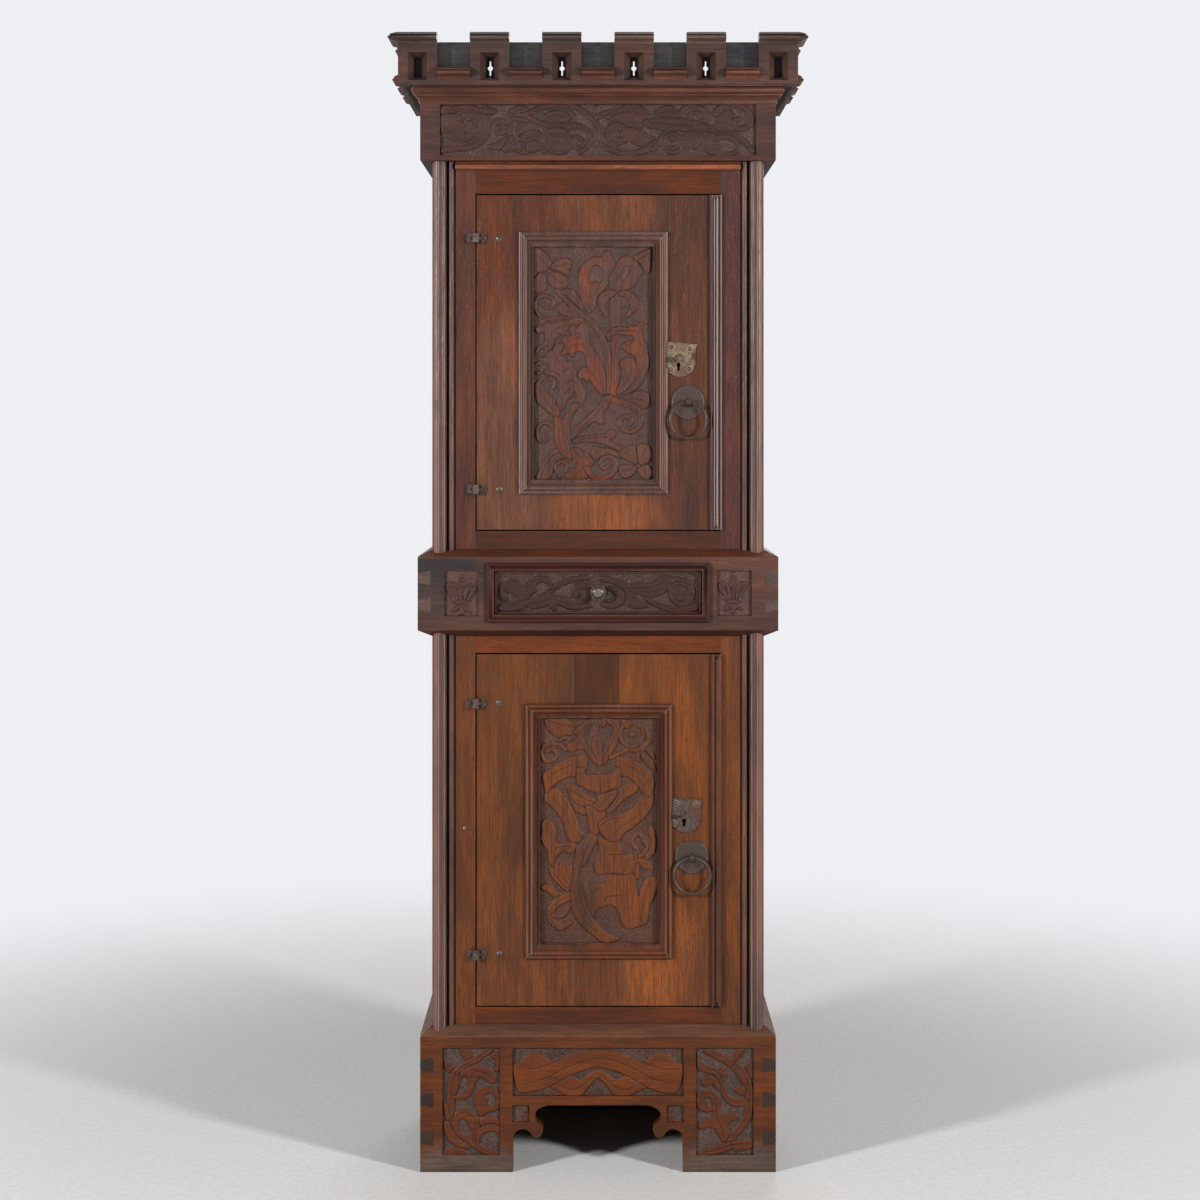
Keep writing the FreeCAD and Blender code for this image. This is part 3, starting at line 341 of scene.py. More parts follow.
# The panel moulding reed lines are painted highlights (pale) and painted shade in the grooves (dark)
oak("lower_panel_moulding", "#53270B", UP, 37, wear=0.8, dirt=1.0, reeds=(
    (-0.1032, 0.3980), (0.1058, 0.7980), 0.25, [
        (22.3, 4.5, "#7A5848", 0.4), (17.6, 1.6, "#341A10", 0.8), (14.0, 2.0, "#7A5040", 0.5),
        (8.5, 2.2, "#341A10", 0.7), (1.2, 2.2, "#2A140B", 0.8)]))
oak("upper_panel_moulding", "#50372F", UP, 38, wear=0.8, dirt=0.9, worn="#B39B92", reeds=(
    (-0.1142, 1.2222), (0.0972, 1.6350), 0.2, [
        (26.0, 3.4, "#9A8078", 0.95), (23.0, 1.6, "#2E1714", 0.8), (19.2, 6.0, "#80625B", 0.6),
        (15.3, 1.6, "#3A1A12", 0.8), (13.2, 2.4, "#84604F", 0.5), (8.3, 7.0, "#482815", 0.6),
        (1.0, 2.4, "#22100B", 0.8)]))
oak("lower_door_astragal", "#522E1E", UP, 39, wear=0.8, dirt=1.0)
# The astragal reed lines are painted highlights (pale) and painted shade in the grooves (dark)
oak("upper_door_astragal", "#4B312E", UP, 40, wear=1.0, dirt=1.0, worn="#A39691", reeds=(
    (0.0, -1.0), (0.0, 3.0), 1.0, [
        (199.0, 2.2, "#2E1410", 0.8), (201.9, 1.5, "#8E7C74", 0.8), (204.0, 1.7, "#2A1715", 0.8),
        (206.8, 1.5, "#8E7C78", 0.8), (209.0, 1.4, "#33201F", 0.7), (211.1, 1.8, "#A08E88", 0.85),
        (213.8, 1.5, "#33201F", 0.7), (218.6, 3.4, "#7A655E", 0.7)]))

# Iron and brass

iron = metal("iron_dark", "#63554D", "#3A2C24", worn="#97867C")
hinge_iron = metal("iron_hinge", "#5A4840", "#2C201B", rough=0.55, metallic=0.25, worn="#8C7A72", wear=0.4)
brass = metal("brass_old", "#8D7B5E", "#5E4A3A", rough=0.42, metallic=0.6, worn="#D0C29C", patches=[
    ((0.129, 1.434), (0.013, 0.005), "#3A2E26", 0.8), ((0.172, 1.441), (0.006, 0.007), "#3E2E27", 0.9),
    ((0.155, 1.413), (0.014, 0.012), "#5C453C", 0.8), ((0.150, 1.455), (0.016, 0.007), "#6E5A4C", 0.6)])
rusty = metal("iron_lower", "#5E5148", "#43352C", rough=0.5, metallic=0.7, patches=[
    ((0.172, 0.637), (0.009, 0.014), "#5A382C", 0.7), ((0.137, 0.624), (0.012, 0.003), "#221A17", 0.9)])
waxed = metal("iron_waxed", "#4F403A", "#453833", rough=0.42, metallic=0.6, dirt=0.6, worn="#8A7C74",
              wear=0.3)
ring_iron = metal("iron_ring", "#4A392E", "#30241C", rough=0.42, metallic=0.35, worn="#8A7262", wear=0.5)
for material, bevel, made_of_it in (
        (iron, 0.0004, ("lower_lock_case", "upper_lock_case", "lower_lock_bolt", "upper_lock_bolt")),
        (hinge_iron, 0.0004, ("hinge_forks", "hinge_pins", "lower_hinge_eyes", "upper_hinge_eyes")),
        (brass, 0.0005, ("upper_escutcheon",)),
        (rusty, 0.0005, ("lower_escutcheon",)),
        (waxed, 0.0005, ("upper_pull_plate", "lower_pull_plate")),
        (ring_iron, 0, ("upper_pull_ring", "lower_pull_ring"))):
    for node in made_of_it:
        dress(node, material, bevel)
for node in ("upper_pull_ring", "lower_pull_ring"):
    modify(nodes[node], "WELD", merge_threshold=WELD_DISTANCE)
    modify(nodes[node], "SUBSURF", render_levels=2)


# Carving. Each field is a thin closed slab on the sunk ground, with its motifs raised from it.


def smooth(value):
    """0 below 0, 1 above 1 and a smooth step between."""
    value = np.clip(value, 0.0, 1.0)
    return value * value * (3.0 - 2.0 * value)


def flowing(points, closed):
    """A smooth line through the points, which are pairs or one number after another."""
    per_span = 5
    given = np.array(points, float).reshape(-1, 2)
    if closed:
        ring = np.vstack([given[-1], given, given[0], given[1]])
    else:
        ring = np.vstack([2 * given[0] - given[1], given, 2 * given[-1] - given[-2]])
    out = []
    for a, b, c, d in zip(ring[:-3], ring[1:-2], ring[2:-1], ring[3:]):
        for t in np.arange(per_span) / per_span:
            out.append(0.5 * (2 * b + (c - a) * t + (2 * a - 5 * b + 4 * c - d) * t ** 2
                              + (3 * b - a - 3 * c + d) * t ** 3))
    if not closed:
        out.append(given[-1])
    return np.array(out)


class Carving:
    """A carved field in mm: x across from the middle of the object, z up from the foot of the field."""

    # Widths of the wall round a motif, its rounded shoulder, the groove outside it and the dark line of
    # painted shade and dirt along it
    WALL, SHOULDER, GROOVE, DARK_LINE = 1.0, 4.5, 1.4, 0.46
    # How rough the ground and the motifs are, and how far the slab stands out of the ground and behind it
    GROUND_DENTS, MOTIF_DENTS, GROUND_RISE, BACK = 0.16, 0.03, 0.35, 0.2

    def __init__(self, name, body, node, x, z, ground, material, seed, depth=2.9, grow=0.4):
        self.name, self.body, self.node, self.material = name, body, node, material
        self.foot, self.ground, self.depth, self.grow = z[0], ground, depth, grow
        inset = 0.05
        columns = int(round(x[1] - x[0])) + 1
        rows = int(round(z[1] - z[0])) + 1
        self.x, self.z = np.meshgrid(np.linspace(x[0] + inset, x[1] - inset, columns),
                                     np.linspace(inset, z[1] - z[0] - inset, rows))
        self.step = (self.x[0, 1] - self.x[0, 0], self.z[1, 0] - self.z[0, 0])
        rng = np.random.default_rng(seed)
        self.grain = rng.normal(0.0, 1.0, self.x.shape)
        self.sway = sum(np.sin(self.x * rng.uniform(0.03, 0.12) + self.z * rng.uniform(-0.1, 0.1)
                               + rng.uniform(0, 6)) for _ in range(4)) / 4
        self.height = np.zeros(self.x.shape)
        self.rim = np.zeros(self.x.shape)

    def window(self, line, margin=4.0):
        """The rows and columns of the field that a line and its margin touch."""
        start = np.array([self.x[0, 0], self.z[0, 0]])
        low = ((line.min(axis=0) - margin - start) / self.step).astype(int)
        high = ((line.max(axis=0) + margin - start) / self.step).astype(int) + 2
        (first, foot), (last, top) = np.maximum(low, 0), np.maximum(high, 0)
        return slice(foot, top), slice(first, last)

    def from_line(self, at, line, radii):
        """Distance from the band round a line, less than 0 inside it."""
        x, z = self.x[at], self.z[at]
        far = np.full(x.shape, 1000.0)
        for a, b, ra, rb in zip(line[:-1], line[1:], radii[:-1], radii[1:]):
            run = b - a
            t = np.clip(((x - a[0]) * run[0] + (z - a[1]) * run[1]) / max(run @ run, 1e-9), 0, 1)
            off = np.hypot(x - a[0] - t * run[0], z - a[1] - t * run[1])
            far = np.minimum(far, off - (ra + (rb - ra) * t))
        return far

    def from_outline(self, at, line):
        """Distance from a closed outline, less than 0 inside it."""
        x, z = self.x[at], self.z[at]
        loop = np.vstack([line, line[:1]])
        far = self.from_line(at, loop, np.zeros(len(loop)))
        odd = np.zeros(x.shape, bool)
        for a, b in zip(loop[:-1], loop[1:]):
            if a[1] != b[1]:
                crossing = (b[0] - a[0]) * (z - a[1]) / (b[1] - a[1]) + a[0]
                odd ^= ((a[1] > z) != (b[1] > z)) & (x < crossing)
        return np.where(odd, -far, far)

    def lift(self, at, far, crown):
        """Raises what is inside a shape, with a steep wall, a crown and a groove round it."""
        old = self.height[at]
        wall = smooth(-far / self.WALL)
        body = self.depth * (1 - crown * (1 - smooth(-far / self.SHOULDER)) + 0.05 * self.sway[at])
        sunk = old * (1 - 0.8 * smooth(1 - np.abs(far) / self.GROOVE))
        self.height[at] = np.where(far < 0, sunk * (1 - wall) + body * wall, sunk)
        # The rim: a dark line of painted shade and dirt at the foot of the wall
        edge = np.exp(-((far + 0.1) / self.DARK_LINE) ** 2)
        self.rim[at] = np.where(far < 0, self.rim[at] * (1 - wall), self.rim[at])
        self.rim[at] = np.maximum(self.rim[at], edge)

    def leaf(self, *points):
        """A leaf with a lobed edge and a short vein from each notch."""
        line = flowing(points, True)
        closed = np.vstack([line, line[:1]])
        run = np.concatenate([[0.0], np.cumsum(np.hypot(*(closed[1:] - closed[:-1]).T))])
        at = self.window(line)
        notch_spacing, vein_length = 8.5, 4.5
        count = int(run[-1] / notch_spacing)
        if count < 5:
            self.lift(at, self.from_outline(at, line) - 0.7 - self.grow, 0.2)
            return
        along_it = np.arange(0.0, run[-1], 1.0)
        x, z = (np.interp(along_it, run, closed[:, i]) for i in (0, 1))
        tx, tz = np.roll(x, -1) - np.roll(x, 1), np.roll(z, -1) - np.roll(z, 1)
        side = np.sign(np.sum(x * np.roll(z, -1) - np.roll(x, -1) * z)) / np.maximum(np.hypot(tx, tz), 1e-6)
        nx, nz = -tz * side, tx * side
        bite = 1.5 * (1 - np.abs(np.sin(np.pi * along_it * count / run[-1]))) ** 2
        line = np.stack([x + nx * bite, z + nz * bite], axis=1)
        far = self.from_outline(at, line) - 0.7 - self.grow
        self.lift(at, far, 0.2)
        for i in range(count):
            k = int(i * len(x) / count)
            start = line[k]
            end = start + vein_length * np.array([nx[k] + 0.45 * nz[k], nz[k] - 0.45 * nx[k]])
            column = int(round((end[0] - self.x[at][0, 0]) / self.step[0]))
            row = int(round((end[1] - self.z[at][0, 0]) / self.step[1]))
            if 0 <= row < far.shape[0] and 0 <= column < far.shape[1] and far[row, column] < -2.0:
                self.sink(np.linspace(start, end, 6), 0.8, 0.35)

    def flat(self, *points):
        """A nearly flat motif with an outline through the points."""
        line = flowing(points, True)
        at = self.window(line)
        self.lift(at, self.from_outline(at, line) - 0.5 - self.grow, 0.12)

    def stem(self, start_width, end_width, *points):
        """A rounded band along a line, from one width to another."""
        line = flowing(points, False)
        radii = np.linspace(start_width, end_width, len(line)) / 2 + 0.8 + self.grow
        at = self.window(line, 4.0 + max(start_width, end_width))
        self.lift(at, self.from_line(at, line, radii), 0.25)

    def circle(self, radius, centre):
        turn = np.linspace(0, 2 * math.pi, 25)
        return np.stack([centre[0] + radius * np.cos(turn), centre[1] + radius * np.sin(turn)], axis=1)

    def disc(self, radius, *centre):
        line = self.circle(radius, centre)[:-1]
        at = self.window(line)
        self.lift(at, self.from_outline(at, line), 0.3)

    def ring(self, radius, width, *centre):
        line = self.circle(radius, centre)
        at = self.window(line, 4.0 + width)
        self.lift(at, self.from_line(at, line, np.full(len(line), width / 2)), 0.25)

    def sink(self, line, width, share):
        """A groove along a line, as a share of the height that is there."""
        at = self.window(line, 3.0 + width)
        far = self.from_line(at, line, np.zeros(len(line)))
        groove = np.exp(-(far / (0.62 * width)) ** 2)
        self.height[at] *= 1 - share * groove
        # Painted shade and dirt along the groove, on the raised motifs
        self.rim[at] = np.maximum(self.rim[at], 0.7 * groove * (self.height[at] > 0.4))

    def cut(self, width, *points):
        """A vein or fold line."""
        self.sink(flowing(points, False), width, 0.5)

    def ringcut(self, radius, width, *centre):
        self.sink(self.circle(radius, centre), width, 0.6)

    def pit(self, *points):
        """A hollow with its own outline, three quarters of the way down."""
        line = flowing(points, True)
        at = self.window(line)
        far = self.from_outline(at, line)
        self.height[at] *= 1 - 0.75 * smooth(-far / 1.6)
        # Painted shade and dirt round the hollow's outline
        self.rim[at] = np.maximum(self.rim[at], np.exp(-(far / 0.7) ** 2))

    def hole(self, width, *points):
        """A slot down to the ground along a line."""
        line = flowing(points, False)
        at = self.window(line, 3.0 + width)
        far = self.from_line(at, line, np.full(len(line), width / 2))
        self.height[at] *= 1 - smooth(0.5 - far / 1.6)
        # Painted shade and dirt along the slot's edges
        self.rim[at] = np.maximum(self.rim[at], np.exp(-(np.abs(far) / 0.9) ** 2))

    def build(self):
        """The slab as a mesh, with cut (0 on the ground, 1 on a motif) and rim, the dark lines of painted
        shade and dirt, for its material.
        """
        rows, columns = self.x.shape
        cut = smooth((self.height / self.depth - 0.15) / 0.35)
        dents = self.grain * (self.GROUND_DENTS * (1 - cut) + self.MOTIF_DENTS * cut)
        rise = np.clip(self.GROUND_RISE + dents + self.height, 0.15, 4.9)
        top = np.stack([self.x, self.ground - rise, self.z + self.foot], axis=2).reshape(-1, 3)
        index = np.arange(rows * columns).reshape(rows, columns)
        corners = (index[:-1, :-1], index[:-1, 1:], index[1:, 1:], index[1:, :-1])
        rim = np.concatenate([index[0, :-1], index[:-1, -1], index[-1, :0:-1], index[:0:-1, 0]])
        back = top[rim].copy()
        back[:, 1] = self.ground + self.BACK
        ring = np.arange(rows * columns, rows * columns + len(rim))
        quads = np.concatenate([np.stack([corner.ravel() for corner in corners], axis=1),
                                np.stack([np.roll(rim, -1), rim, ring, np.roll(ring, -1)], axis=1)])
        mesh = bpy.data.meshes.new(self.name)
        faces = quads.tolist() + [ring[::-1].tolist()]
        mesh.from_pydata((np.vstack([top, back]) / 1000.0).tolist(), [], faces)
        mesh.polygons.foreach_set("use_smooth", [True] * (len(faces) - 1) + [False])
        for name, values in (("cut", cut), ("rim", self.rim)):
            layer = mesh.attributes.new(name, "FLOAT", "POINT")
            layer.data.foreach_set("value", np.concatenate([values.ravel(), np.zeros(len(rim))]))
        mesh.materials.append(self.material)
        obj = bpy.data.objects.new(self.name, mesh)
        put_in_scene(obj)
        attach(obj, self.body)


carved_upper = wood("oak_carved_upper", "#52332A", UP, 41, ground="#462F28", wear=0.3, patches=[
    (place, size, "#6A3014", 0.6) for place, size in (
        ((-0.067, 1.310), (0.012, 0.03)), ((-0.002, 1.408), (0.02, 0.03)), ((0.067, 1.470), (0.015, 0.05)),
        ((0.03, 1.417), (0.01, 0.06)), ((-0.035, 1.243), (0.025, 0.022)), ((0.012, 1.227), (0.02, 0.006)),
        ((-0.023, 1.567), (0.01, 0.03)), ((-0.041, 1.461), (0.018, 0.012)))])
carved_lower = wood("oak_carved_lower", "#5C3219", UP, 42, ground="#482A1D", wear=0.3, patches=[
    (place, size, "#6C3810", 0.55) for place, size in (
        ((0.075, 0.662), (0.02, 0.045)), ((0.066, 0.493), (0.03, 0.05)), ((-0.071, 0.502), (0.02, 0.04)),
        ((-0.075, 0.689), (0.02, 0.03)), ((0.075, 0.768), (0.02, 0.02)))] + [
            ((-0.022, 0.520), (0.014, 0.10), "#42271C", 0.7), ((0.0, 0.762), (0.03, 0.03), "#4A2A1C", 0.6)])
carved_drawer = wood("oak_carved_drawer", "#37201B", ACROSS, 43, ground="#3C241E", wear=0.25)
carved_fleur = wood("oak_carved_fleur", "#442923", ACROSS, 47, ground="#50342D", wear=0.25)
carved_frieze = wood("oak_carved_frieze", "#3E2823", ACROSS, 44, ground="#422B26", wear=0.25)
carved_strap = wood("oak_carved_strap", "#612F0D", ACROSS, 46, ground="#40291E", wear=0.3)
carved_foot = wood("oak_carved_foot", "#542912", ACROSS, 45, ground="#45322A", wear=0.3)

upper = Carving("upper_door_carving", "upper_door", "upper_door_panel", (-114.2, 97.2), (1222.2, 1635.0),
                PANEL_GROUND, carved_upper, 1)
lower = Carving("lower_door_carving", "lower_door", "lower_door_panel", (-103.2, 105.8), (398.0, 798.0),
                PANEL_GROUND, carved_lower, 2)
frieze = Carving("frieze_carving", "carcase", "frieze_front", (-279, 279), (1794.5, 1884.5), FRONT_GROUND,
                 carved_frieze, 3, grow=1.4)
drawer = Carving("drawer_carving", "drawer", "drawer_front", (-179.4, 179.4), (988.6, 1057.8),
                 DRAWER_GROUND, carved_drawer, 4, grow=1.4)
fleur_left, fleur_right = (
    Carving("fleur_" + side, "carcase", "waist_front", x, (982, 1062), WAIST_GROUND, carved_fleur, seed, 2.6)
    for side, x, seed in (("left", (-271, -210), 5), ("right", (210, 271), 6)))
foot_left, foot_right = (
    Carving("foot_carving_" + side, "carcase", "base_front", x, (30, 219), FRONT_GROUND, carved_foot, seed,
            grow=0.7) for side, x, seed in (("left", (-274.5, -173), 7), ("right", (173, 274.5), 8)))
strap = Carving("strap_carving", "carcase", "base_front", (-151, 151), (134, 219), FRONT_GROUND,
                carved_strap, 9)
corner_left, corner_right = (
    Carving("corner_leaf_" + side, "carcase", "base_front", x, (87.9, 117.9), FRONT_GROUND, carved_foot, seed)
    for side, x, seed in (("left", (-151, -122), 10), ("right", (122, 151), 11)))

# The motifs. After a stem's widths, a cut's width, or a disc's or ring's radius and width, the numbers
# are the x and z of one point after another, in mm.

# Upper door

upper.flat(-115,409, -103,409, -92,402, -85,391, -82,383, -87,374, -98,368, -108,368, -115,363)
upper.cut(1, -89,375, -98,388, -108,399)
upper.flat(-80,383, -71,390, -60,393, -50,391, -46,386, -50,381, -48,375, -53,372, -53,363, -62,367, -73,372,
    -82,374)
upper.cut(1, -80,379, -66,381, -55,383)
upper.flat(-85,367, -73,368, -62,363, -55,356, -53,347, -60,340, -71,336, -80,342, -87,351)
upper.cut(1, -83,363, -73,354, -62,347)
upper.flat(-115,352, -108,363, -99,367, -94,361, -92,349, -94,336, -103,333, -115,335)
upper.cut(1.4, -92,365, -94,347)
upper.disc(4.5, -87,370)
upper.stem(6, 3.5, -46,290, -67,287, -87,285, -103,292, -112,304, -110,319, -99,326, -87,324, -78,317,
    -82,306, -92,304, -98,312)
upper.cut(1, -57,287, -82,285, -101,294, -108,310)
upper.flat(-59,336, -46,338, -37,327, -28,315, -20,303, -25,297, -37,310, -50,322)
upper.cut(1, -50,333, -36,317)
upper.stem(6.5, 6, -73,335, -62,324, -50,312, -37,301, -25,290)
upper.cut(1, -67,333, -55,319, -39,304)
upper.flat(-67,312, -60,315, -55,308, -51,299, -44,292, -53,290, -64,294, -71,301)
upper.flat(-25,287, -39,287, -55,283, -71,281, -83,276, -92,278, -101,272, -112,269, -107,260, -96,262,
    -92,251, -96,239, -87,226, -80,239, -78,249, -71,253, -69,260, -62,256, -57,264, -48,264, -41,274,
    -28,278)
upper.cut(1, -32,283, -57,274, -78,264, -87,240)
upper.cut(1.2, -67,269, -66,260)
upper.flat(-27,280, -21,271, -20,256, -14,240, -5,226, 4,212, 9,196, 14,177, 14,153, 5,152, -5,164, -14,177,
    -20,173, -25,180, -32,178, -34,189, -27,198, -18,198, -20,210, -23,221, -32,228, -41,226, -46,217,
    -53,225, -62,214, -67,223, -60,233, -57,239, -64,248, -55,256, -46,256, -51,267, -43,274, -36,269)
upper.cut(1.3, 9,162, -2,191, -14,216, -27,242, -36,260)
upper.cut(1, 4,169, -11,189, -23,193)
upper.cut(1.1, -39,267, -39,253)
upper.cut(1, -27,239, -41,239, -53,230)
upper.cut(1, -32,253, -44,249)
upper.cut(1, -12,209, -18,187, -14,180)
upper.stem(4.5, 3.5, -112,223, -103,235, -92,233, -92,223, -101,219)
upper.stem(4.5, 4, -80,145, -91,157, -96,169, -89,178, -78,175, -80,162)
upper.stem(4, 3.5, -114,201, -105,207, -98,200, -101,189, -108,189)
upper.flat(-89,226, -80,230, -76,239, -67,242, -64,232, -69,221, -60,219, -55,209, -46,210, -44,200, -37,194,
    -39,184, -32,175, -25,162, -23,148, -28,134, -36,123, -43,132, -37,146, -43,157, -48,146, -55,141,
    -62,125, -67,122, -73,132, -69,148, -67,162, -71,175, -80,184, -91,185, -96,193, -87,200, -94,210)
upper.cut(1.4, -66,127, -62,148, -59,173, -64,198, -75,217)
upper.cut(1, -59,169, -46,177, -37,166)
upper.cut(1, -62,191, -50,198)
upper.cut(1, -67,184, -82,193)
upper.cut(1, -62,152, -50,159)
upper.flat(-110,171, -103,177, -98,166, -91,153, -82,145, -75,134, -69,122, -73,107, -83,116, -94,125,
    -105,134, -110,145, -112,159)
upper.cut(1.2, -105,161, -92,139, -78,120)
upper.stem(8.5, 9, -25,292, -12,281, 0,265, 11,244, 18,219, 21,191, 20,148)
upper.cut(1, -14,285, 4,260, 14,230, 20,185)
upper.flat(25,329, 37,329, 37,265, 36,221, 36,177, 32,152, 21,152, 25,180, 25,230, 23,274)
upper.cut(1, 30,319, 30,248, 30,168)
upper.flat(-27,310, -30,324, -34,340, -34,358, -30,374, -23,386, -12,393, 0,395, 7,395, 11,404, 18,406,
    23,400, 27,390, 27,377, 21,367, 16,359, 16,345, 9,336, 0,326, -4,312, -9,299, -18,297)
upper.pit(-12,375, -4,381, 5,377, 11,368, 11,358, 4,349, -5,352, -12,347, -16,359)
upper.cut(1.3, -16,304, -21,326, -23,351, -16,372)
upper.cut(1.1, -11,312, -5,333, 4,345)
upper.cut(1.2, 14,386, 14,368)
upper.flat(34,335, 32,347, 36,358, 32,370, 34,383, 41,393, 51,397, 62,393, 71,384, 76,372, 73,358, 66,347,
    59,340, 48,336)
upper.pit(44,375, 53,379, 59,375, 53,363, 46,352, 41,354)
upper.cut(1.5, 43,377, 37,359, 34,342)
upper.cut(1.5, 59,375, 50,358, 41,340)
upper.cut(1.1, 67,372, 64,351)
upper.flat(64,395, 75,402, 85,407, 94,409, 94,386, 91,368, 83,372, 76,383)
upper.cut(1, 73,391, 83,397, 92,404)
upper.flat(32,333, 20,336, 7,331, 0,320, 2,308, 7,297, 14,288, 16,297, 12,306, 16,315, 20,322, 28,326)
upper.cut(1, 21,331, 9,324, 7,308)
upper.flat(37,333, 51,335, 64,329, 71,319, 69,306, 62,296, 51,287, 53,297, 59,306, 57,317, 48,324, 39,326)
upper.cut(1, 46,329, 60,322, 64,306)
upper.flat(20,246, 16,255, 20,264, 28,269, 41,271, 51,269, 59,274, 67,272, 75,280, 80,276, 76,264, 80,249,
    85,235, 89,217, 89,200, 83,184, 76,169, 66,159, 51,153, 43,155, 51,168, 59,182, 66,194, 69,209, 66,219,
    57,223, 46,230, 44,239, 53,246, 64,246, 62,255, 50,256, 37,258, 27,256)
upper.cut(1.4, 27,264, 50,264, 67,262, 73,244, 82,223, 80,198, 64,168)
upper.cut(1, 66,246, 51,237)
upper.cut(1.6, 75,216, 73,194)
upper.flat(39,207, 48,216, 59,216, 67,207, 69,193, 64,177, 53,162, 41,153, 32,155, 39,169, 44,184, 44,196)
upper.cut(1.2, 55,210, 59,193, 50,173, 39,159)
upper.flat(16,150, 30,146, 46,146, 59,152, 69,157, 80,157, 89,152, 92,141, 89,130, 80,125, 69,130, 57,136,
    39,139, 21,139)
upper.cut(1.1, 25,143, 46,143, 67,143, 83,139)
upper.stem(9, 4.5, 25,141, 50,134, 67,127, 76,114, 75,98, 64,86, 50,86, 39,95, 41,107, 51,113, 60,106, 57,97)
upper.cut(1.2, 36,138, 60,129, 75,113, 71,97, 57,88)
upper.flat(12,148, 25,148, 20,138, 16,127, 9,116, 11,104, 7,97, -2,102, -11,102, -20,93, -30,86, -39,77,
    -46,70, -44,82, -39,93, -28,104, -18,113, -9,120, 0,130, 7,139)
upper.cut(1.4, -39,81, -21,98, -4,114, 11,138)
upper.flat(-7,59, 5,56, 20,54, 34,47, 41,38, 28,42, 14,43, 4,40, -4,33, -11,43)
upper.flat(-46,66, -36,74, -18,77, 2,79, 14,81, 20,88, 28,88, 32,81, 27,74, 18,70, 28,65, 43,58, 60,47, 53,42,
    37,51, 20,58, 0,65, -21,66, -37,65)
upper.cut(1.1, -32,70, -7,74, 18,75)
upper.flat(-59,54, -73,56, -85,47, -96,33, -103,17, -110,1, -96,-1, -85,3, -80,19, -73,33, -62,38, -51,40)
upper.cut(1.3, -66,49, -82,40, -92,22, -101,4)
upper.stem(5.5, 4, -75,70, -78,88, -89,100, -101,98, -108,88, -107,74, -98,66, -89,74, -92,82)
upper.flat(-75,111, -67,106, -60,109, -53,123, -48,132, -39,136, -32,130, -39,123, -46,114, -50,102, -51,86,
    -50,70, -41,56, -37,42, -50,36, -62,43, -71,54, -75,70, -76,88)
upper.cut(1.3, -66,100, -64,77, -55,52)
upper.cut(1, -57,106, -59,84, -51,63)
upper.cut(1, -73,98, -71,74)
upper.stem(6, 4, -43,-1, -57,-1, -69,6, -75,19, -71,29, -62,31, -55,24, -57,13)
upper.flat(-48,52, -37,56, -25,51, -14,42, -9,31, -12,24, -21,22, -23,13, -20,4, -28,-1, -41,-3, -51,-1,
    -57,8, -48,15, -43,24, -44,38)
upper.cut(1.3, -39,47, -28,36, -27,22, -37,8)
upper.cut(1, -30,51, -18,35)
upper.stem(8, 4.5, -21,19, -11,6, 5,1, 21,6, 32,19, 30,33, 20,40, 7,36, 4,26, 11,19, 18,24)
upper.cut(1.1, -14,11, 4,4, 21,11, 28,26)
upper.flat(37,43, 44,52, 55,59, 64,61, 67,51, 69,38, 69,26, 59,31, 48,36)
upper.cut(1, 46,49, 66,29)
upper.flat(71,59, 82,63, 92,56, 96,43, 89,31, 76,26, 71,40)
upper.cut(1, 85,54, 75,31)
upper.flat(37,22, 48,26, 67,22, 64,11, 53,3, 43,4)
upper.cut(1, 44,15, 64,20)
upper.flat(75,22, 87,26, 96,17, 94,4, 85,-3, 76,6, 71,17)
upper.cut(1, 87,6, 76,20)
upper.disc(4, 71,24)

# Lower door

lower.flat(-94,394, -87,401, -73,402, -59,401, -48,394, -36,395, -25,388, -18,381, -25,374, -37,378, -44,370,
    -57,370, -67,365, -80,372, -89,381)
lower.cut(1, -85,394, -67,388, -46,385, -28,381)
lower.cut(1, -75,386, -67,376)
lower.stem(5.5, 4, -57,344, -71,353, -87,354, -98,347, -101,335, -94,324, -82,324, -73,333, -80,344, -89,340)
lower.stem(5, 4, -36,347, -48,346, -55,354, -51,363, -60,365, -67,360)
lower.flat(-4,319, -14,331, -25,344, -37,344, -48,340, -55,347, -51,356, -41,358, -36,369, -43,374, -36,383,
    -27,390, -21,397, -11,397, -11,390, -16,383, -18,369, -14,354, -5,339, 4,326)
lower.cut(1.3, -4,326, -16,346, -25,363, -21,385)
lower.cut(1, -27,353, -37,354)
lower.flat(11,317, 21,333, 32,351, 37,369, 37,385, 30,397, 18,402, 5,397, 4,385, 11,385, 16,392, 25,386,
    28,376, 25,365, 16,356, 11,342, 5,328)
lower.cut(1.2, 9,326, 20,347, 30,367, 32,383, 21,395)
lower.flat(2,314, -5,331, -11,349, -7,362, -2,370, 4,360, 7,342, 9,326)
lower.cut(1.1, 2,323, -2,344, -2,360)
lower.stem(8.5, 6, 53,392, 71,388, 85,378, 91,362, 83,347, 69,342, 53,344, 39,337, 23,330)
lower.cut(1.1, 64,390, 80,381, 87,363, 78,347, 57,344)
lower.ring(21.306, 5.5, 60,370)
lower.disc(5, 60,370)
lower.flat(41,397, 51,397, 60,390, 53,381, 46,386)
lower.flat(83,347, 92,344, 101,331, 98,328, 89,337)
lower.stem(5, 5, 71,344, 71,323)
lower.flat(-53,276, -46,282, -36,276, -27,267, -14,260, -2,255, 4,244, -7,243, -21,244, -34,244, -44,253,
    -51,262)
lower.flat(-48,255, -39,246, -27,241, -20,234, -25,228, -37,234, -44,243)
lower.flat(4,264, 16,267, 28,271, 39,273, 34,262, 25,252, 16,241, 7,232, -2,234, -11,244, -2,250)
lower.flat(39,276, 51,283, 62,285, 71,276, 64,266, 51,259, 39,248, 28,236, 21,234, 27,248, 34,260)
lower.cut(1.1, -46,271, -25,257, -7,250)
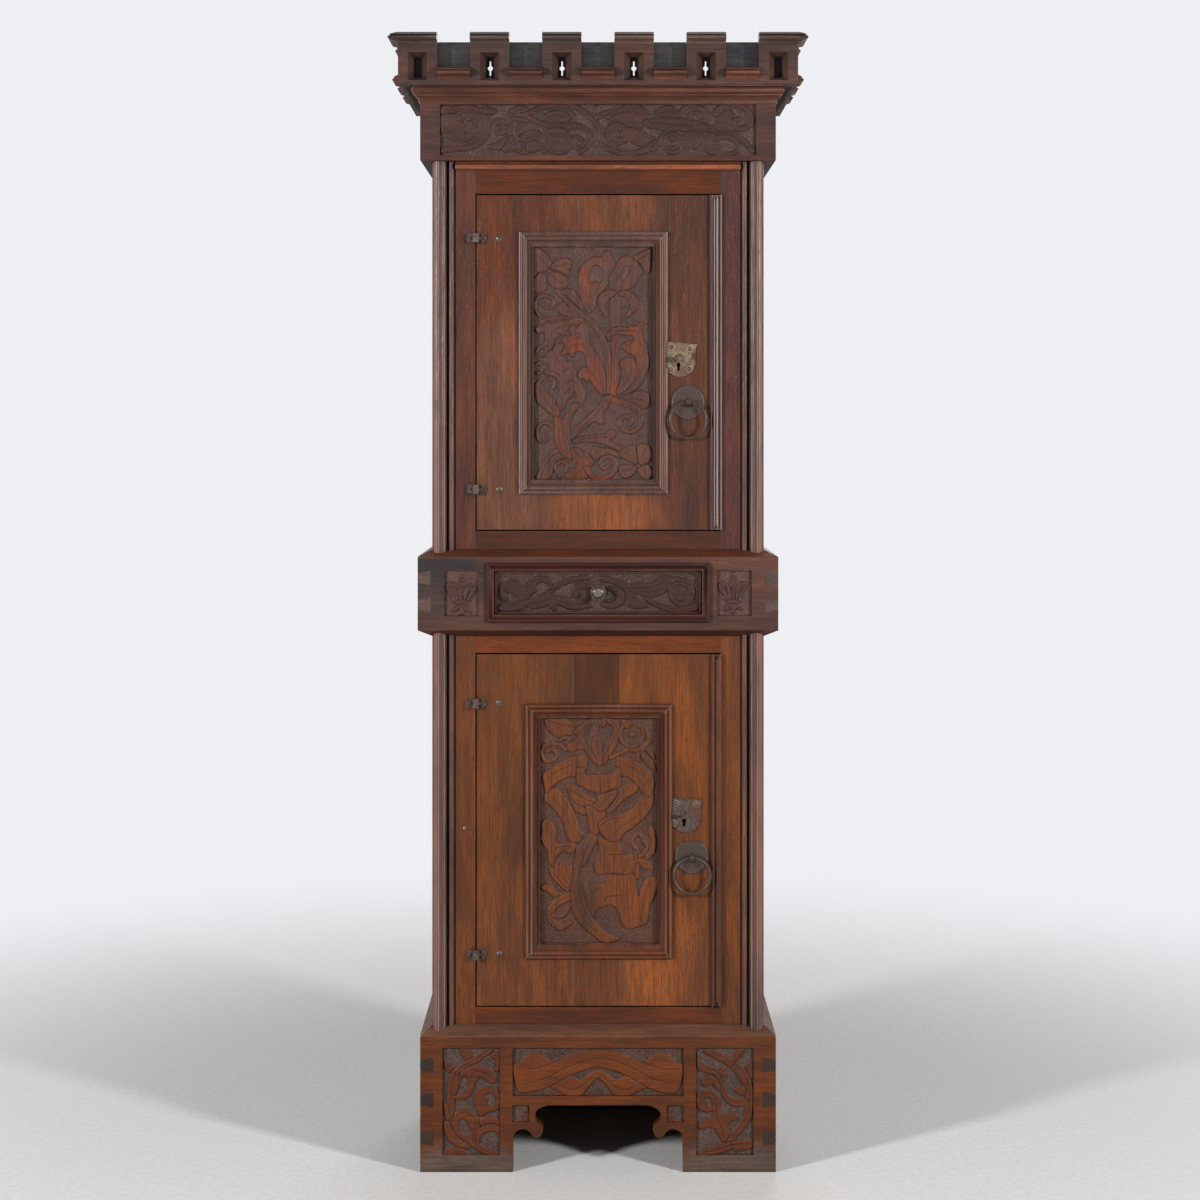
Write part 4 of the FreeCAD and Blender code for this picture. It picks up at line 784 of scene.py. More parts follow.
lower.cut(1.1, 25,264, 12,250, 2,239)
lower.cut(1.1, 59,280, 43,262, 28,243)
lower.flat(-21,244, -11,241, 4,232, 14,234, 11,220, 4,207, 0,195, -7,188, -14,200, -18,220)
lower.cut(1, -11,236, -7,200)
lower.flat(-91,269, -76,276, -66,267, -55,255, -46,239, -39,223, -34,205, -27,191, -34,180, -48,180, -55,191,
    -60,209, -67,225, -80,241, -94,253)
lower.cut(1, -80,259, -64,237, -51,212, -43,188)
lower.cut(1, -71,266, -53,241, -41,212)
lower.flat(-48,330, -36,333, -23,333, -21,310, -37,310, -39,296, -51,296, -67,289, -82,278, -91,267, -94,276,
    -98,298, -85,308, -67,321)
lower.cut(1, -89,292, -69,307, -43,317)
lower.cut(1.2, -37,330, -37,312)
lower.flat(96,273, 98,255, 91,234, 76,218, 60,205, 46,195, 34,179, 23,180, 12,188, 4,198, 0,209, 9,220,
    25,225, 39,228, 53,234, 66,244, 76,257, 85,266)
lower.cut(1, 89,250, 71,227, 46,209, 25,191)
lower.cut(1.1, 7,209, 21,220, 43,223)
lower.flat(34,330, 46,331, 60,328, 75,317, 87,305, 98,292, 98,273, 89,259, 78,271, 66,285, 53,296, 39,298,
    39,310, 34,312)
lower.cut(1, 44,319, 66,308, 83,291, 92,273)
lower.flat(-37,310, -25,310, -23,299, -9,299, 9,299, 23,301, 34,310, 39,310, 39,278, 27,275, 14,269, 0,267,
    -14,271, -27,278, -37,285)
lower.cut(1, -12,294, -11,273)
lower.cut(1, 5,294, 5,269)
lower.cut(1, 21,296, 20,273)
lower.cut(1, -25,305, -25,280)
lower.flat(-101,212, -91,220, -80,211, -75,196, -76,180, -67,177, -55,180, -43,177, -39,168, -48,161, -62,163,
    -73,157, -78,147, -80,136, -87,145, -89,163, -96,175, -103,188, -99,200)
lower.cut(1.2, -87,205, -83,184, -82,159)
lower.cut(1, -76,168, -62,172, -48,170)
lower.flat(-44,85, -55,93, -67,102, -78,113, -85,125, -87,138, -80,133, -76,143, -69,136, -64,147, -55,140,
    -48,138, -44,124, -43,102)
lower.cut(1.1, -80,125, -66,108, -50,92)
lower.cut(1, -71,133, -60,113, -48,97)
lower.cut(1, -59,138, -53,120, -46,104)
lower.flat(-103,99, -92,104, -82,101, -73,92, -62,85, -75,81, -87,90)
lower.stem(14, 7, -50,83, -71,74, -83,58, -82,40, -67,28, -51,35)
lower.cut(1.2, -60,79, -80,65, -87,47, -76,31)
lower.cut(1, -73,69, -78,53, -71,38)
lower.stem(5.5, 3.5, -80,49, -67,47, -57,53, -53,63)
lower.stem(7, 7, 69,118, 69,143, 69,166)
lower.stem(5, 3.5, 69,166, 62,177, 64,189, 73,195, 78,186)
lower.stem(5, 4, 73,154, 83,159, 87,172, 80,182)
lower.flat(91,207, 98,202, 103,184, 101,165, 92,152, 80,145, 85,156, 92,166, 96,180, 91,193)
lower.flat(71,149, 83,149, 92,141, 99,133, 89,131, 76,138)
lower.cut(1, 98,195, 98,170, 89,154)
lower.flat(75,340, 87,333, 98,321, 103,307, 92,312, 82,324)
lower.flat(-11,195, -2,184, -9,170, -16,154, -23,138, -32,143, -28,161, -21,179)
lower.cut(1.2, -12,180, -21,163, -27,147)
lower.flat(0,188, 12,184, 23,179, 36,179, 43,166, 46,156, 62,156, 62,124, 30,125, -2,124, -4,145, 2,166)
lower.cut(1.4, 18,157, 43,157)
lower.cut(1, 11,173, 11,131)
lower.cut(1, 28,152, 28,131)
lower.cut(1, 48,149, 48,127)
lower.flat(-25,83, -14,97, -2,106, 11,104, 16,117, 27,120, 39,120, 64,120, 67,99, 73,81, 76,95, 83,109,
    92,117, 105,117, 105,99, 98,81, 91,67, 89,49, 85,35, 71,30, 53,26, 43,35, 39,49, 32,63, 20,69, 9,65,
    -2,60, -7,46, -7,31, -14,42, -20,60, -25,72)
lower.cut(1.5, 16,69, 14,81, 39,85)
lower.cut(1.1, 51,113, 53,78, 55,35)
lower.cut(1.1, 92,109, 82,78, 75,38)
lower.cut(1, 37,109, 43,69)
lower.cut(1, 0,97, -11,78, -14,56)
lower.flat(-37,173, -27,166, -28,145, -32,124, -28,102, -25,81, -18,60, -7,40, 5,26, 21,15, 36,8, 25,3, 11,1,
    -4,10, -21,24, -37,42, -46,60, -48,81, -46,106, -43,131, -39,152)
lower.cut(1, -36,156, -41,122, -41,81, -30,46, -5,21)
lower.cut(1, -32,141, -36,106, -30,70, -12,35)

# Frieze

frieze.flat(-277,84, -267,88, -256,84, -245,88, -230,89, -215,86, -205,79, -196,72, -192,59, -192,43, -198,31,
    -207,20, -221,13, -238,10, -258,8, -275,6, -275,12, -261,15, -245,15, -231,19, -219,26, -212,36, -208,49,
    -210,59, -217,66, -228,68, -235,75, -245,79, -258,77, -268,75, -277,73)
frieze.cut(1, -270,81, -251,82, -230,82, -212,75, -201,61, -201,43, -210,28, -230,17)
frieze.flat(-277,68, -268,72, -258,72, -251,73, -244,70, -245,61, -238,56, -235,47, -238,40, -233,36, -228,42,
    -226,51, -230,58, -226,61, -219,56, -217,45, -221,35, -231,26, -245,24, -260,29, -270,36, -277,45)
frieze.cut(1, -270,65, -267,51, -256,38, -242,31)
frieze.disc(3, -238,63)
frieze.leaf(-208,79, -200,89, -191,84, -178,79, -187,73, -200,75)
frieze.leaf(-194,17, -184,20, -173,26, -164,33, -155,29, -161,19, -173,12, -185,12)
frieze.leaf(-157,63, -141,65, -132,59, -136,43, -141,35, -131,29, -131,17, -120,10, -131,3, -148,10, -159,8,
    -168,10, -161,22, -154,33, -162,43, -155,54)
frieze.cut(1.3, -147,58, -148,38, -141,15)
frieze.disc(16, -173,51)
frieze.ringcut(5.5, 1.6, -175,49)
frieze.stem(6.5, 4, -159,59, -154,75, -143,84, -131,84, -124,77, -129,72, -136,73)
frieze.stem(5, 4, -148,66, -131,63, -118,58, -117,45)
frieze.stem(7.5, 7, -124,73, -106,82, -85,88, -60,89, -37,84, -18,72, -2,68)
frieze.cut(1.1, -113,77, -85,84, -57,86, -32,77)
frieze.stem(6, 6, -120,68, -106,59, -85,54, -64,56, -44,52, -25,49)
frieze.leaf(-97,68, -85,77, -67,79, -55,77, -48,70, -57,61, -74,59, -88,61)
frieze.cut(1.2, -90,68, -71,72, -55,68)
frieze.stem(4.5, 6, -51,79, -42,68, -46,58)
frieze.leaf(-138,31, -125,43, -109,43, -97,35, -92,22, -90,8, -102,8, -106,22, -115,31, -125,33, -131,26)
frieze.disc(12, -115,17)
frieze.leaf(-94,38, -83,47, -71,49, -57,45, -48,33, -48,17, -57,6, -74,3, -88,10, -95,24)
frieze.cut(1.3, -85,38, -67,35, -60,19)
frieze.stem(8, 4, -49,51, -34,52, -21,45, -18,31, -25,17, -35,13, -42,22, -39,33, -30,29)
frieze.stem(4.5, 4, -2,86, -7,63, -9,38, -18,17, -32,6)
frieze.stem(5, 5, -18,70, -4,59, 5,42, 9,19, 25,8)
frieze.stem(6, 7, -2,68, 14,75, 28,77)
frieze.leaf(12,68, 25,75, 37,82, 53,89, 71,89, 83,81, 88,68, 78,63, 79,51, 67,47, 53,51, 39,56, 26,63)
frieze.cut(1.3, 23,70, 44,77, 67,77, 78,66)
frieze.leaf(21,26, 14,38, 18,51, 28,58, 41,56, 51,49, 64,47, 76,42, 88,36, 99,31, 88,24, 76,17, 65,22, 53,26,
    39,20, 26,17)
frieze.leaf(21,15, 39,8, 60,8, 78,12, 92,19, 104,29, 97,15, 83,5, 60,1, 34,3)
frieze.stem(8, 6, 131,51, 118,38, 109,24, 97,12)
frieze.leaf(102,75, 111,84, 124,88, 136,82, 143,72, 134,66, 120,65, 106,66)
frieze.cut(1.2, 109,73, 124,81, 136,73)
frieze.stem(7, 5, 143,65, 148,79, 162,88, 178,86, 191,75, 191,63, 178,59)
frieze.stem(4.5, 3.5, 159,66, 164,75, 175,75, 178,68)
frieze.leaf(81,61, 102,65, 127,65, 152,65, 173,61, 189,54, 182,43, 162,42, 141,45, 120,45, 99,49, 85,52)
frieze.cut(1.3, 92,58, 127,56, 166,52)
frieze.disc(21, 132,22)
frieze.ringcut(13, 1.6, 132,22)
frieze.disc(6, 132,22)
frieze.leaf(152,38, 166,42, 180,36, 180,24, 175,12, 162,15, 155,8, 150,24)
frieze.stem(10, 5, 180,51, 201,47, 222,43, 244,35, 261,22, 274,8)
frieze.cut(1.2, 191,49, 222,43, 251,29)
frieze.leaf(184,38, 198,40, 210,33, 215,22, 214,10, 205,3, 191,8, 185,20)
frieze.cut(1.2, 194,31, 203,13)
frieze.stem(6, 4, 208,31, 226,33, 242,26, 249,13, 242,5, 226,3)
frieze.leaf(207,47, 212,65, 221,77, 233,79, 242,68, 233,56, 222,45)
frieze.stem(10, 5, 208,75, 219,86, 237,91, 256,86, 268,72, 267,54, 252,47, 242,52, 240,61, 249,65)
frieze.cut(1.2, 219,81, 240,86, 260,77, 263,59)
frieze.ringcut(6.5, 1.6, 39,38)
frieze.ringcut(2.4, 1.2, 39,38)

# Drawer

drawer.flat(-173,42, -170,48, -163,51, -157,55, -150,56, -143,55, -138,49, -134,42, -132,32, -132,21, -138,19,
    -141,26, -147,33, -159,35, -161,42, -164,39, -166,32, -164,26, -161,23, -166,19, -171,25, -173,33)
drawer.pit(-166,39, -163,41, -161,35, -163,26, -166,30)
drawer.flat(-178,7, -171,12, -161,14, -150,16, -141,18, -132,14, -129,9, -138,5, -150,2, -164,2, -175,3)
drawer.flat(-132,41, -129,48, -122,53, -115,58, -108,62, -97,62, -87,60, -81,53, -81,48, -87,48, -94,53,
    -102,53, -110,49, -113,44, -108,39, -115,33, -122,28, -127,23, -132,26)
drawer.cut(1, -129,32, -118,44, -108,56, -92,58)
drawer.flat(-117,23, -108,26, -97,32, -88,39, -76,48, -62,55, -48,60, -34,62, -18,63, -18,58, -34,56, -48,53,
    -62,48, -72,42, -79,37, -87,30, -74,28, -62,25, -49,23, -46,18, -35,14, -23,14, -12,10, -21,7, -39,5,
    -55,7, -65,12, -74,14, -74,7, -76,3, -83,7, -88,14, -94,10, -102,9, -113,7, -122,9, -125,14, -124,19)
drawer.cut(1.1, -120,14, -102,16, -88,21, -87,14)
drawer.cut(1, -88,23, -71,19, -53,14, -35,10)
drawer.cut(1, -101,26, -83,39, -60,51)
drawer.flat(-46,32, -44,42, -41,48, -34,51, -25,51, -16,48, -12,41, -14,30, -18,21, -25,16, -34,14, -41,18,
    -34,21, -25,25, -21,33, -25,41, -32,42, -37,41, -39,33, -35,28, -41,26)
drawer.pit(-53,26, -48,30, -44,26, -48,25)
drawer.flat(5,60, 16,62, 26,58, 37,55, 46,51, 53,46, 57,39, 58,26, 57,14, 51,12, 51,25, 49,35, 42,42, 32,48,
    19,53, 7,55)
drawer.flat(12,41, 19,44, 30,44, 39,41, 44,33, 46,23, 42,14, 34,9, 23,7, 11,10, 5,14, 12,18, 21,16, 30,18,
    34,25, 32,32, 25,35, 18,33)
drawer.pit(16,37, 23,37, 30,30, 21,32)
drawer.flat(55,39, 57,46, 64,49, 74,51, 85,49, 95,51, 104,56, 111,62, 122,63, 131,62, 140,58, 132,53, 122,51,
    115,48, 124,46, 127,42, 120,37, 113,32, 104,28, 95,26, 101,19, 92,19, 83,26, 74,32, 64,33, 57,32)
drawer.cut(1.1, 62,41, 78,42, 95,44, 110,49, 124,58)
drawer.cut(1, 74,35, 92,35, 113,39)
drawer.flat(55,32, 62,32, 69,26, 74,19, 81,14, 88,12, 85,9, 74,7, 64,7, 57,12, 55,21)
drawer.flat(81,26, 92,23, 102,18, 115,12, 131,9, 148,7, 164,9, 177,14, 177,5, 163,2, 145,0, 127,2, 110,7,
    95,14, 85,21)
drawer.cut(1, 95,19, 117,9, 145,3, 170,7)
drawer.flat(125,33, 129,44, 136,51, 147,55, 157,53, 166,46, 170,35, 168,25, 163,16, 152,10, 141,12, 132,19,
    127,26)
drawer.ringcut(14.5, 1.7, 145,32)
drawer.pit(152,44, 155,46, 161,37, 157,37)
drawer.cut(0.9, 138,39, 143,35)
drawer.stem(4.5, 4, 138,58, 152,56, 163,51)

# Fleurs-de-lis on the waist

fleur_left.flat(-268,48, -268,53, -265,58, -258,60, -250,55, -247,48, -245,39, -243,25, -249,26, -252,37,
    -256,42, -252,33, -250,25, -256,23, -258,32, -263,39)
fleur_left.flat(-215,46, -217,53, -220,56, -228,56, -233,53, -236,46, -238,35, -240,25, -235,26, -231,35,
    -228,42, -224,44, -228,35, -231,26, -226,26, -224,33, -219,39)
fleur_left.leaf(-242,74, -236,65, -235,55, -236,42, -240,25, -243,25, -245,42, -249,55, -247,65)
fleur_left.hole(1.6, -249,48, -247,39, -245,28)
fleur_left.hole(1.5, -236,46, -238,37, -238,28)
fleur_left.flat(-250,25, -243,26, -236,26, -231,25, -231,19, -240,18, -249,19)
fleur_left.flat(-245,18, -238,18, -236,9, -238,2, -245,2, -245,9)
fleur_left.flat(-259,10, -252,14, -245,19, -243,14, -250,10, -254,7, -259,7)
fleur_left.flat(-238,18, -231,16, -224,10, -224,5, -229,7, -235,10)

fleur_right.flat(212,49, 212,56, 217,60, 224,62, 229,56, 233,49, 235,39, 236,26, 231,28, 229,39, 226,48,
    222,49, 224,42, 229,33, 229,26, 222,28, 222,35, 217,42)
fleur_right.flat(265,56, 261,60, 252,60, 247,56, 243,48, 242,37, 240,26, 245,28, 247,39, 250,46, 258,49,
    252,42, 250,33, 252,26, 247,26)
fleur_right.leaf(238,78, 243,70, 247,60, 245,49, 242,39, 240,25, 236,25, 235,42, 231,56, 233,69)
fleur_right.hole(1.4, 235,49, 236,39, 236,28)
fleur_right.hole(1.6, 245,53, 243,42, 242,30)
fleur_right.flat(229,26, 238,28, 247,26, 247,21, 238,19, 229,21)
fleur_right.flat(235,19, 242,19, 243,12, 240,5, 236,5, 235,12)
fleur_right.flat(222,16, 229,19, 236,21, 235,16, 228,10, 222,9)
fleur_right.flat(242,21, 247,18, 254,16, 254,10, 247,12, 242,16)

# Feet of the plinth

foot_left.flat(-242,187, -229,187, -224,176, -222,165, -229,162, -237,171)
foot_left.flat(-271,166, -264,162, -256,157, -250,150, -256,141, -262,145, -269,153)
foot_left.flat(-197,187, -184,186, -203,171, -222,157, -236,147, -242,136, -246,120, -252,105, -254,89,
    -253,74, -250,58, -256,49, -262,61, -266,83, -266,105, -264,126, -259,144, -248,154, -232,164, -215,174)
foot_left.cut(1, -192,185, -222,164, -246,150, -256,130, -259,105, -259,77)
foot_left.flat(-228,154, -215,159, -203,154, -189,151, -181,140, -180,130, -189,126, -198,133, -209,136,
    -216,130, -220,119, -225,106, -237,98, -249,98, -256,102, -243,106, -233,116, -229,128, -231,137,
    -240,139, -245,131, -242,145)
foot_left.cut(1.1, -184,133, -203,145, -220,145, -226,126, -236,108)
foot_left.flat(-190,175, -181,180, -172,178, -171,161, -173,150, -181,148, -180,159, -182,168)
foot_left.flat(-216,110, -205,118, -189,119, -177,113, -171,102, -172,86, -182,77, -197,75, -207,68, -214,80,
    -217,95)
foot_left.pit(-200,106, -189,109, -181,102, -182,89, -193,84, -197,92, -195,98)
foot_left.flat(-256,61, -252,74, -240,80, -227,78, -216,71, -210,60, -210,47, -215,35, -216,24, -205,15,
    -187,8, -171,3, -171,-2, -189,-2, -208,5, -222,14, -232,23, -243,29, -253,38, -257,49)
foot_left.pit(-247,58, -240,64, -231,58, -225,47, -226,37, -233,33, -242,39, -247,48)
foot_left.cut(1, -252,64, -240,74, -225,69, -216,55, -221,36, -218,19, -200,8)
foot_left.flat(-215,24, -215,39, -203,49, -187,53, -171,47, -171,36, -184,42, -198,40, -207,32, -212,19)
foot_left.flat(-209,60, -197,68, -181,65, -171,60, -171,51, -184,56, -197,55, -206,52)
foot_left.flat(-272,57, -262,53, -256,39, -243,25, -229,13, -239,10, -256,20, -269,35)
foot_left.flat(-272,92, -267,89, -264,74, -262,63, -268,64)
foot_left.flat(-272,7, -256,12, -239,9, -228,-2, -272,-2)

foot_right.flat(186,186, 204,182, 224,176, 244,164, 260,150, 269,133, 273,111, 273,86, 269,64, 260,48, 247,35,
    236,21, 227,24, 236,39, 251,55, 259,71, 260,92, 259,114, 251,133, 240,148, 226,160, 209,170, 192,178)
foot_right.cut(1, 197,182, 228,168, 253,148, 266,120, 267,89, 259,61, 240,36)
foot_right.flat(245,187, 256,185, 252,176, 244,167, 235,155, 226,161, 234,172)
foot_right.flat(175,179, 181,168, 191,159, 205,154, 217,148, 222,134, 226,119, 232,105, 242,99, 261,97,
    262,89, 244,85, 231,90, 222,102, 215,120, 210,135, 201,143, 188,146, 178,151, 175,162)
foot_right.cut(1, 178,168, 191,153, 213,144, 219,123, 228,98, 247,92)
foot_right.flat(182,129, 185,137, 195,140, 206,136, 213,126, 216,115, 209,116, 204,125, 196,123, 188,121)
foot_right.flat(207,148, 216,157, 222,150, 225,139, 219,136, 216,142)
foot_right.flat(174,102, 181,111, 196,115, 209,109, 215,94, 216,74, 229,72, 245,71, 247,63, 233,59, 229,48,
    232,35, 222,22, 213,35, 206,45, 195,49, 182,45, 178,54, 190,61, 201,64, 203,78, 193,75, 181,79, 175,89)
foot_right.pit(185,98, 196,102, 202,93, 199,84, 191,86, 193,93)
foot_right.cut(1.1, 185,106, 203,106, 209,89, 209,71, 216,52, 222,30)
foot_right.flat(242,114, 250,121, 259,119, 260,108, 250,105, 247,110)
foot_right.flat(261,154, 267,161, 273,157, 273,136, 268,139)
foot_right.flat(177,-2, 184,8, 203,13, 222,19, 234,21, 242,14, 229,7, 210,2, 191,-2)
foot_right.flat(236,21, 247,24, 263,27, 273,24, 273,14, 257,9, 241,8)
foot_right.cut(1, 185,3, 209,8, 234,16, 268,21)

# Strap between the feet

strap.flat(-83,18, -67,28, -49,35, -32,28, -16,39, 0,46, 16,39, 32,28, 49,35, 67,28, 85,16, 67,7, 53,0, 32,0,
    21,11, 11,23, 0,32, -11,23, -21,11, -32,0, -53,0, -67,7)
strap.cut(1.2, -67,16, -46,11, -25,19, -4,37)
strap.cut(1.2, 67,16, 46,11, 25,19, 4,37)
strap.flat(-150,53, -138,58, -125,71, -111,76, -97,71, -83,60, -64,69, -42,76, -21,80, 0,81, 21,80, 42,76,
    60,67, 83,60, 97,71, 111,76, 125,71, 138,58, 150,53, 147,28, 139,7, 122,5, 102,9, 85,16, 67,27, 49,37,
    25,46, 0,51, -25,46, -49,37, -67,27, -83,18, -102,11, -120,7, -139,7, -147,28)
strap.cut(1.4, -120,46, -94,53, -74,60, -57,71)
strap.cut(1.4, 120,46, 94,53, 74,60, 57,69)
strap.cut(1.1, -131,21, -94,30, -57,49, -14,64, 21,64, 60,49, 95,30, 134,21)

# Leaves in the corners of the arch

corner_left.leaf(-150,0, -139,4, -132,13, -129,21, -124,28, -122,14, -122,0)

corner_right.leaf(150,0, 139,4, 132,13, 129,21, 124,28, 122,14, 122,0)

for field in (upper, lower, frieze, drawer, fleur_left, fleur_right, foot_left, foot_right, strap,
              corner_left, corner_right):
    field.build()


# Nails, ribs, knob and other small pieces that lie on a face


class Fittings:
    """Small turned and half-round pieces on one face, gathered in one mesh. Lengths are in mm."""

    def __init__(self, name, body, node, face, material):
        self.name, self.body, self.node, self.face, self.material = name, body, node, face, material
        self.points, self.faces = [], []

    def skin(self, rings):
        """A closed piece through rings of points, each with as many points."""
        numbered = []
        for ring in rings:
            numbered.append(range(len(self.points), len(self.points) + len(ring)))
            self.points += ring
        for a, b in zip(numbered[:-1], numbered[1:]):
            for i in range(len(a)):
                j = (i + 1) % len(a)
                self.faces.append((a[i], a[j], b[j], b[i]))
        self.faces += [tuple(numbered[0][::-1]), tuple(numbered[-1])]

    def turned(self, x, z, profile, sides=20, petals=0, swell=0.0, turn=0.0):
        """Turned about a line out of the face. The profile is pairs of radius and height."""
        rings = []
        for radius, height in profile:
            rings.append([])
            for i in range(sides):
                angle = 2 * math.pi * i / sides
                r = radius * (1 + swell * math.cos(petals * (angle - turn)))
                rings[-1].append((x + r * math.cos(angle), self.face - height, z + r * math.sin(angle)))
        self.skin(rings)

    def rib(self, width, height, *path, base=0.0, taper=1.0):
        """A half-round rib along a line on the face."""
        line = flowing(path, False)
        rings = []
        for i, (place, run) in enumerate(zip(line, np.gradient(line, axis=0))):
            size = 1 + (taper - 1) * i / (len(line) - 1)
            half = np.array([run[1], -run[0]]) / max(math.hypot(*run), 1e-9) * width / 2 * size
            arch = []
            for angle in np.linspace(0, math.pi, 7):
                out = place + half * math.cos(angle)
                arch.append((out[0], self.face - base - height * size * math.sin(angle), out[1]))
            arch += [(v[0], self.face - base + 0.3, v[1]) for v in (place - half, place + half)]
            rings.append(arch)
        self.skin(rings)

    def nail(self, x, z, radius, height, washer=0.0):
        """A hand-made nail with an uneven domed head, on a washer if it has one."""
        low = 0.0
        if washer:
            low = 1.1
            self.turned(x, z, [(washer, -0.2), (washer, 0.7), (washer * 0.93, 1.1), (washer * 0.4, 1.2)],
                        18, 3, 0.03, x)
        dome = ((1.02, 0.35), (0.8, 0.75), (0.45, 0.97), (0.12, 1.0))
        self.turned(x, z, [(radius, low - 0.2)] + [(radius * wide, low + height * up) for wide, up in dome],
                    14, 5, 0.05, z)

    def build(self):
        mesh = bpy.data.meshes.new(self.name)
        mesh.from_pydata([tuple(v / 1000.0 for v in point) for point in self.points], [], self.faces)
        mesh.polygons.foreach_set("use_smooth", [True] * len(self.faces))
        mesh.materials.append(self.material)
        obj = bpy.data.objects.new(self.name, mesh)
        put_in_scene(obj)
        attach(obj, self.body)
        modify(obj, "EDGE_SPLIT", split_angle=math.radians(50))
        return obj


def arc(x, z, radius, first, last, count):
    """Points on a circle between two angles in degrees."""
    turns = np.radians(np.linspace(first, last, count))
    return [(x + radius * math.cos(t), z + radius * math.sin(t)) for t in turns]


nail_iron = metal("iron_nails", "#6A5F57", "#3E322B", rough=0.35, metallic=0.7, worn="#B8ADA4", wear=0.8)
# Black for painted shade: the shadows round the keyhole collars and the dark rings round the nail heads
black = metal("soot", "#14100E", "#0B0908", rough=0.8, metallic=0.0, worn="#1C1714")
brown = metal("iron_brown", "#5C4638", "#3A2B22", rough=0.6, metallic=0.2, worn="#7C6654", wear=0.3)

for name, heights in (("upper", (1204.6, 1649.8)), ("lower", (380.3, 825.6))):
    nails = Fittings(name + "_hinge_nails", name + "_door", name + "_door_boards", DOOR_FACE, nail_iron)
    for z in heights:
        nails.nail(-175.0, z, 2.3, 1.8, washer=5.3)
    nails.build()


class LockFittings(Fittings):
    """Fittings that lie on the escutcheon of one door."""

    NAILS = {"upper": ((130.4, 1457.2), (163.2, 1453.7), (129.2, 1417.3), (162.3, 1418.2)),
             "lower": ((138.4, 648.3), (173.9, 646.5), (134.8, 612.8))}
    KEYHOLE = {"upper": (143.7, 1436.5), "lower": (150.8, 629.5)}

    def __init__(self, door, name, material):
        super().__init__(name, door + "_door", door + "_escutcheon", PLATE_FACE, material)
        self.nails, self.keyhole = self.NAILS[door], self.KEYHOLE[door]

    def at_nails(self, profile):
        for x, z in self.nails:
            self.turned(x, z, profile)

    def over_keyhole(self, width, height, radius, first, last, count, taper=1.0):
        self.rib(width, height, *arc(*self.keyhole, radius, first, last, count), taper=taper)


plate = LockFittings("upper", "upper_escutcheon_nails", brass)
plate.at_nails([(5.5, -0.2), (5.4, 0.2), (5.0, 0.35), (2.0, 0.35)])
plate.over_keyhole(1.9, 1.3, 5.6, -20, 200, 11)
plate.build()
plate = LockFittings("lower", "lower_escutcheon_nails", rusty)
plate.at_nails([(5.6, -0.2), (5.5, 0.3), (5.0, 0.45), (2.0, 0.45)])
plate.over_keyhole(2.0, 1.2, 7.6, -20, 200, 11, 0.8)
plate.build()
# Painted shade: the shadow of the keyhole collar and dark rings round the nails
marks = LockFittings("upper", "upper_keyhole_shadow", black)
marks.over_keyhole(1.5, 0.5, 7.3, -40, 220, 13)
marks.rib(1.6, 0.3, 132, 1436, 137, 1434.5, 141, 1435.5, taper=0.5)
marks.at_nails([(4.5, 0.1), (4.4, 0.5), (3.9, 0.65), (2.0, 0.65)])
marks.build()
# A crack, with painted shade over the keyhole and dark rings of painted shade round the nails
marks = LockFittings("lower", "lower_escutcheon_crack", black)
marks.over_keyhole(1.4, 0.25, 5.9, -5, 185, 9)
marks.at_nails([(4.5, 0.2), (4.4, 0.55), (4.0, 0.7), (2.0, 0.7)])
marks.rib(1.3, 0.2, 130.5, 624.0, 137, 623.2, 144, 622.6, 149, 621.0, taper=0.4)
marks.build()
for door, height in (("upper", 1.5), ("lower", 1.3)):
    domes = LockFittings(door, door + "_escutcheon_domes", brown)
    for x, z in domes.nails:
        domes.nail(x, z, 3.0, height)
    domes.build()

for name, x, z, first, last in (("upper", 159.7, 1358.8, -65, 245), ("lower", 165.9, 556.1, 128, 412)):
    rim = Fittings(name + "_pull_rim", name + "_door", name + "_pull_plate", PLATE_FACE, waxed)
    rim.rib(1.1, 0.5, *arc(x, z, 27.4, first, last, 31))
    rim.rib(1.2, 0.5, *arc(x, z - 1, 13.0, 200, 340, 9))
    rim.build()


# The cast knob, with a beaded rim and a whorl of leaves

KNOB_Z, BEADS, LEAVES = 1023.2, 18, 8


def round_knob(radius, angle):
    """A point on the knob's face."""
    return radius * math.cos(angle), KNOB_Z + radius * math.sin(angle)


knob_cast = metal("knob_cast", "#584C45", "#332A25", rough=0.38, metallic=0.6, worn="#A69A8E", wear=0.6,
                  dirt=1.0)
knob = Fittings("drawer_knob_cast", "drawer", "drawer_knob", DRAWER_GROUND, knob_cast)
knob.turned(0.0, KNOB_Z, [
    (7.2, -0.3), (7.2, 0.9), (6.0, 1.5), (4.6, 2.2), (4.3, 6.0), (5.2, 9.0), (8.4, 11.8), (12.0, 13.6),
    (13.8, 15.4), (14.0, 16.6), (13.4, 17.9), (12.0, 18.3), (10.6, 17.7), (9.6, 17.9), (8.6, 18.9),
    (5.6, 20.2), (2.4, 20.7), (0.4, 20.8)], 48)
for i in range(BEADS):
    knob.turned(*round_knob(11.9, 2 * math.pi * i / BEADS), [
        (1.6, 17.6), (1.55, 18.6), (1.1, 19.3), (0.4, 19.6)], 9)
for i in range(LEAVES):
    blade = [round_knob(radius, 2 * math.pi * i / LEAVES + math.radians(16 * k))
             for k, radius in enumerate((2.0, 4.0, 6.2, 8.6))]
    knob.rib(1.3, 1.0, *blade, base=19.2, taper=1.5)
knob.turned(0.0, KNOB_Z, [(2.2, 20.0), (2.1, 21.0), (1.3, 21.7), (0.3, 21.9)], 12)
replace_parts(knob.build(), "drawer_knob")

